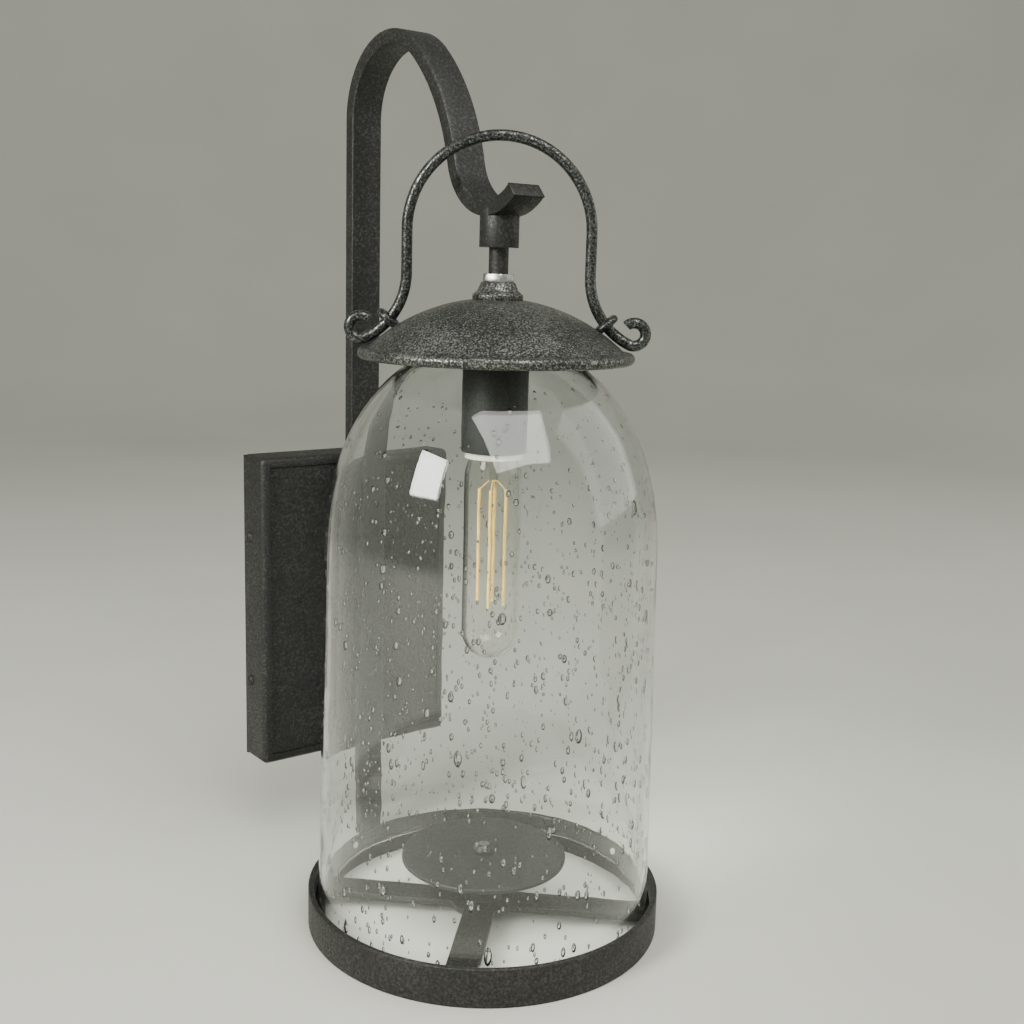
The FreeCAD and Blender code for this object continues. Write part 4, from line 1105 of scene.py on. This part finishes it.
@dataclass
class Base:
    """The band ring with its cross, and the disc on its post."""

    shop: Workshop
    ring_r: float = 95.5
    ring_wall: float = 3.0
    edge: float = 0.8
    disc_r: float = 44.8
    disc_edge: float = 0.7
    rod_hole_r: float = 3.3
    post_r: float = 7.0
    post_foot_r: float = 10.0
    post_head_r: float = 9.0

    def ring(self) -> None:
        """Rolls the band, with its rims rounded."""
        low, top = self.shop.low("base_ring").z, self.shop.high("base_ring").z
        inside = self.ring_r - self.ring_wall
        bm = revolve([(inside, low), (self.ring_r, low), (self.ring_r, top), (inside, top)], 192)
        ease(bm, self.edge, 3, 40.0)
        self.shop.piece(bm, "base_ring_finished", Body.LANTERN, RING_IRON, ["base_ring"], on_axis=True)

    def disc(self) -> None:
        """Turns the disc, and the waisted post under it."""
        low, top = self.shop.low("glare_disc").z, self.shop.high("glare_disc").z
        bm = revolve([(self.rod_hole_r, low), (self.disc_r, low), (self.disc_r, top),
                      (self.rod_hole_r, top)], 128)
        ease(bm, self.disc_edge, 3, 40.0)
        self.shop.piece(bm, "glare_disc_finished", Body.LANTERN, GREY_SATIN, ["glare_disc"], on_axis=True)
        foot, head = self.shop.low("disc_post").z, self.shop.high("disc_post").z
        bm = revolve([(self.rod_hole_r, foot), (self.post_foot_r, foot), (self.post_foot_r, foot + 0.8),
                      (self.post_r, foot + 4), (self.post_r, head - 3), (self.post_head_r, head),
                      (self.rod_hole_r, head)], 64)
        self.shop.piece(bm, "disc_post_finished", Body.LANTERN, GREY_SATIN, ["disc_post"], on_axis=True)

    def build(self) -> None:
        """Builds the base and dresses its small parts."""
        self.ring()
        self.disc()
        self.shop.eased_copy("base_cross", Body.LANTERN, RING_IRON, 0.4)
        for node, finish in {"disc_nut": GREY_SATIN, "foot_gasket": RUBBER, "ring_screws": SCREW_PAINT,
                             "ring_pads": NYLON, "hub_nut": ZINC, "post_rod": ZINC}.items():
            self.shop.coat(node, finish)


# ---- studio -------------------------------------------------------------------------------------
@dataclass
class SoftBox:
    """A soft lamp: where it stands, what it faces, its size in metres, its power and its colour."""

    name: str
    place: tuple[float, float, float]
    facing: tuple[float, float, float]
    size: tuple[float, float]
    watts: float
    colour: str = "#fffdf8"

    def build(self) -> None:
        """Hangs the lamp."""
        data = bpy.data.lights.new(self.name, "AREA")
        data.shape = "RECTANGLE"
        data.size, data.size_y = self.size
        data.energy = self.watts
        data.color = linear(self.colour)[:3]
        lamp = bpy.data.objects.new(self.name, data)
        lamp.location = self.place
        beam = Vector(self.facing) - Vector(self.place)
        lamp.rotation_euler = beam.to_track_quat("-Z", "Y").to_euler()
        bpy.context.scene.collection.objects.link(lamp)


@dataclass
class Studio:
    """A pale floor that sweeps up into a round wall, soft lamps and the camera."""

    floor_z: float
    centre: tuple[float, float] = (0.0, -0.162)
    floor_r: float = 2.0
    sweep_r: float = 1.3
    wall_h: float = 2.6
    bend_steps: int = 10
    floor_colour: str = "#c9cac2"
    floor_cloud: str = "#c4c5bd"
    air_colour: str = "#dfe0da"
    air_strength: float = 0.36
    lens_mm: float = 44.7
    eye: tuple[float, float, float] = (-0.3908, -0.6863, 0.2009)
    heading: float = 37.6
    pitch: float = -10.54
    roll: float = 1.6
    lamps: tuple[SoftBox, ...] = (
        SoftBox("soft_key", (-1.35, -0.25, 0.75), (0.0, -0.16, 0.08), (0.5, 0.5), 30.0),
        SoftBox("soft_top", (-0.3, -1.3, 1.7), (-0.2, -0.5, -0.1), (1.5, 1.5), 44.0),
        SoftBox("soft_right", (1.6, -1.0, 1.0), (0.0, -0.16, 0.05), (1.8, 1.8), 14.0),
    )

    def floor(self) -> None:
        """Spins the floor and the wall as one sheet."""
        turns = [math.radians(90.0 * k / self.bend_steps) for k in range(self.bend_steps + 1)]
        bend = [(self.floor_r + self.sweep_r * math.sin(turn), self.sweep_r * (1 - math.cos(turn)))
                for turn in turns]
        bm = revolve([(0.0, 0.0), *bend, (self.floor_r + self.sweep_r, self.wall_h)], 96, closed=False)
        bmesh.ops.recalc_face_normals(bm, faces=bm.faces[:])
        middle = min(bm.faces, key=lambda face: face.calc_center_median().length)
        if middle.normal.z < 0.0:
            bmesh.ops.reverse_faces(bm, faces=bm.faces[:])
        bmesh.ops.translate(bm, vec=(*self.centre, self.floor_z), verts=bm.verts[:])
        mesh = bpy.data.meshes.new("studio_floor")
        bm.to_mesh(mesh)
        bm.free()
        mesh.shade_smooth()
        material, tree, output = new_tree("painted_floor")
        place = add(tree, "ShaderNodeTexCoord", {}, {}).outputs["Object"]
        cloud = add(tree, "ShaderNodeTexNoise", {}, {"Vector": place, "Scale": 3.0, "Detail": 2.0})
        tone = add(tree, "ShaderNodeValToRGB", {"stops": (
            (0.3, linear(self.floor_cloud)), (0.7, linear(self.floor_colour)))}, {
            "Fac": cloud.outputs["Fac"]})
        shader = add(tree, "ShaderNodeBsdfPrincipled", {}, {
            "Base Color": tone.outputs["Color"], "Roughness": 0.6})
        tree.links.new(shader.outputs[0], output.inputs["Surface"])
        mesh.materials.append(material)
        floor = bpy.data.objects.new("studio_floor", mesh)
        bpy.context.scene.collection.objects.link(floor)

    def camera(self) -> None:
        """Places the camera by its heading from the wall, its pitch and its roll."""
        data = bpy.data.cameras.new("camera")
        data.lens = self.lens_mm
        data.sensor_width = 36.0
        data.clip_start = 0.01
        data.dof.use_dof = False
        camera = bpy.data.objects.new("camera", data)
        turn = (Matrix.Rotation(math.radians(-self.heading), 4, "Z")
                @ Matrix.Rotation(math.radians(90.0 + self.pitch), 4, "X")
                @ Matrix.Rotation(math.radians(self.roll), 4, "Z"))
        camera.matrix_world = Matrix.Translation(self.eye) @ turn
        bpy.context.scene.collection.objects.link(camera)
        bpy.context.scene.camera = camera

    def build(self) -> None:
        """Sets up the floor, the lamps, the air's light and the camera."""
        self.floor()
        for lamp in self.lamps:
            lamp.build()
        world = bpy.data.worlds.new("room")
        world.use_nodes = True
        world.node_tree.nodes["Background"].inputs["Color"].default_value = linear(self.air_colour)
        world.node_tree.nodes["Background"].inputs["Strength"].default_value = self.air_strength
        bpy.context.scene.world = world
        self.camera()


def main() -> None:
    """Loads the frame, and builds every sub-assembly and the studio."""
    logging.basicConfig(level=logging.INFO, format="%(message)s")
    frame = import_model()
    shop = Workshop(frame)
    for kind in (Canopy, StrapArm, Cap, Bail, BellGlass, LampHolder, Base):
        kind(shop).build()
    Studio(floor_z=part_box("arm_tail_plug")[0][2]).build()


if __name__ == "__main__":
    main()
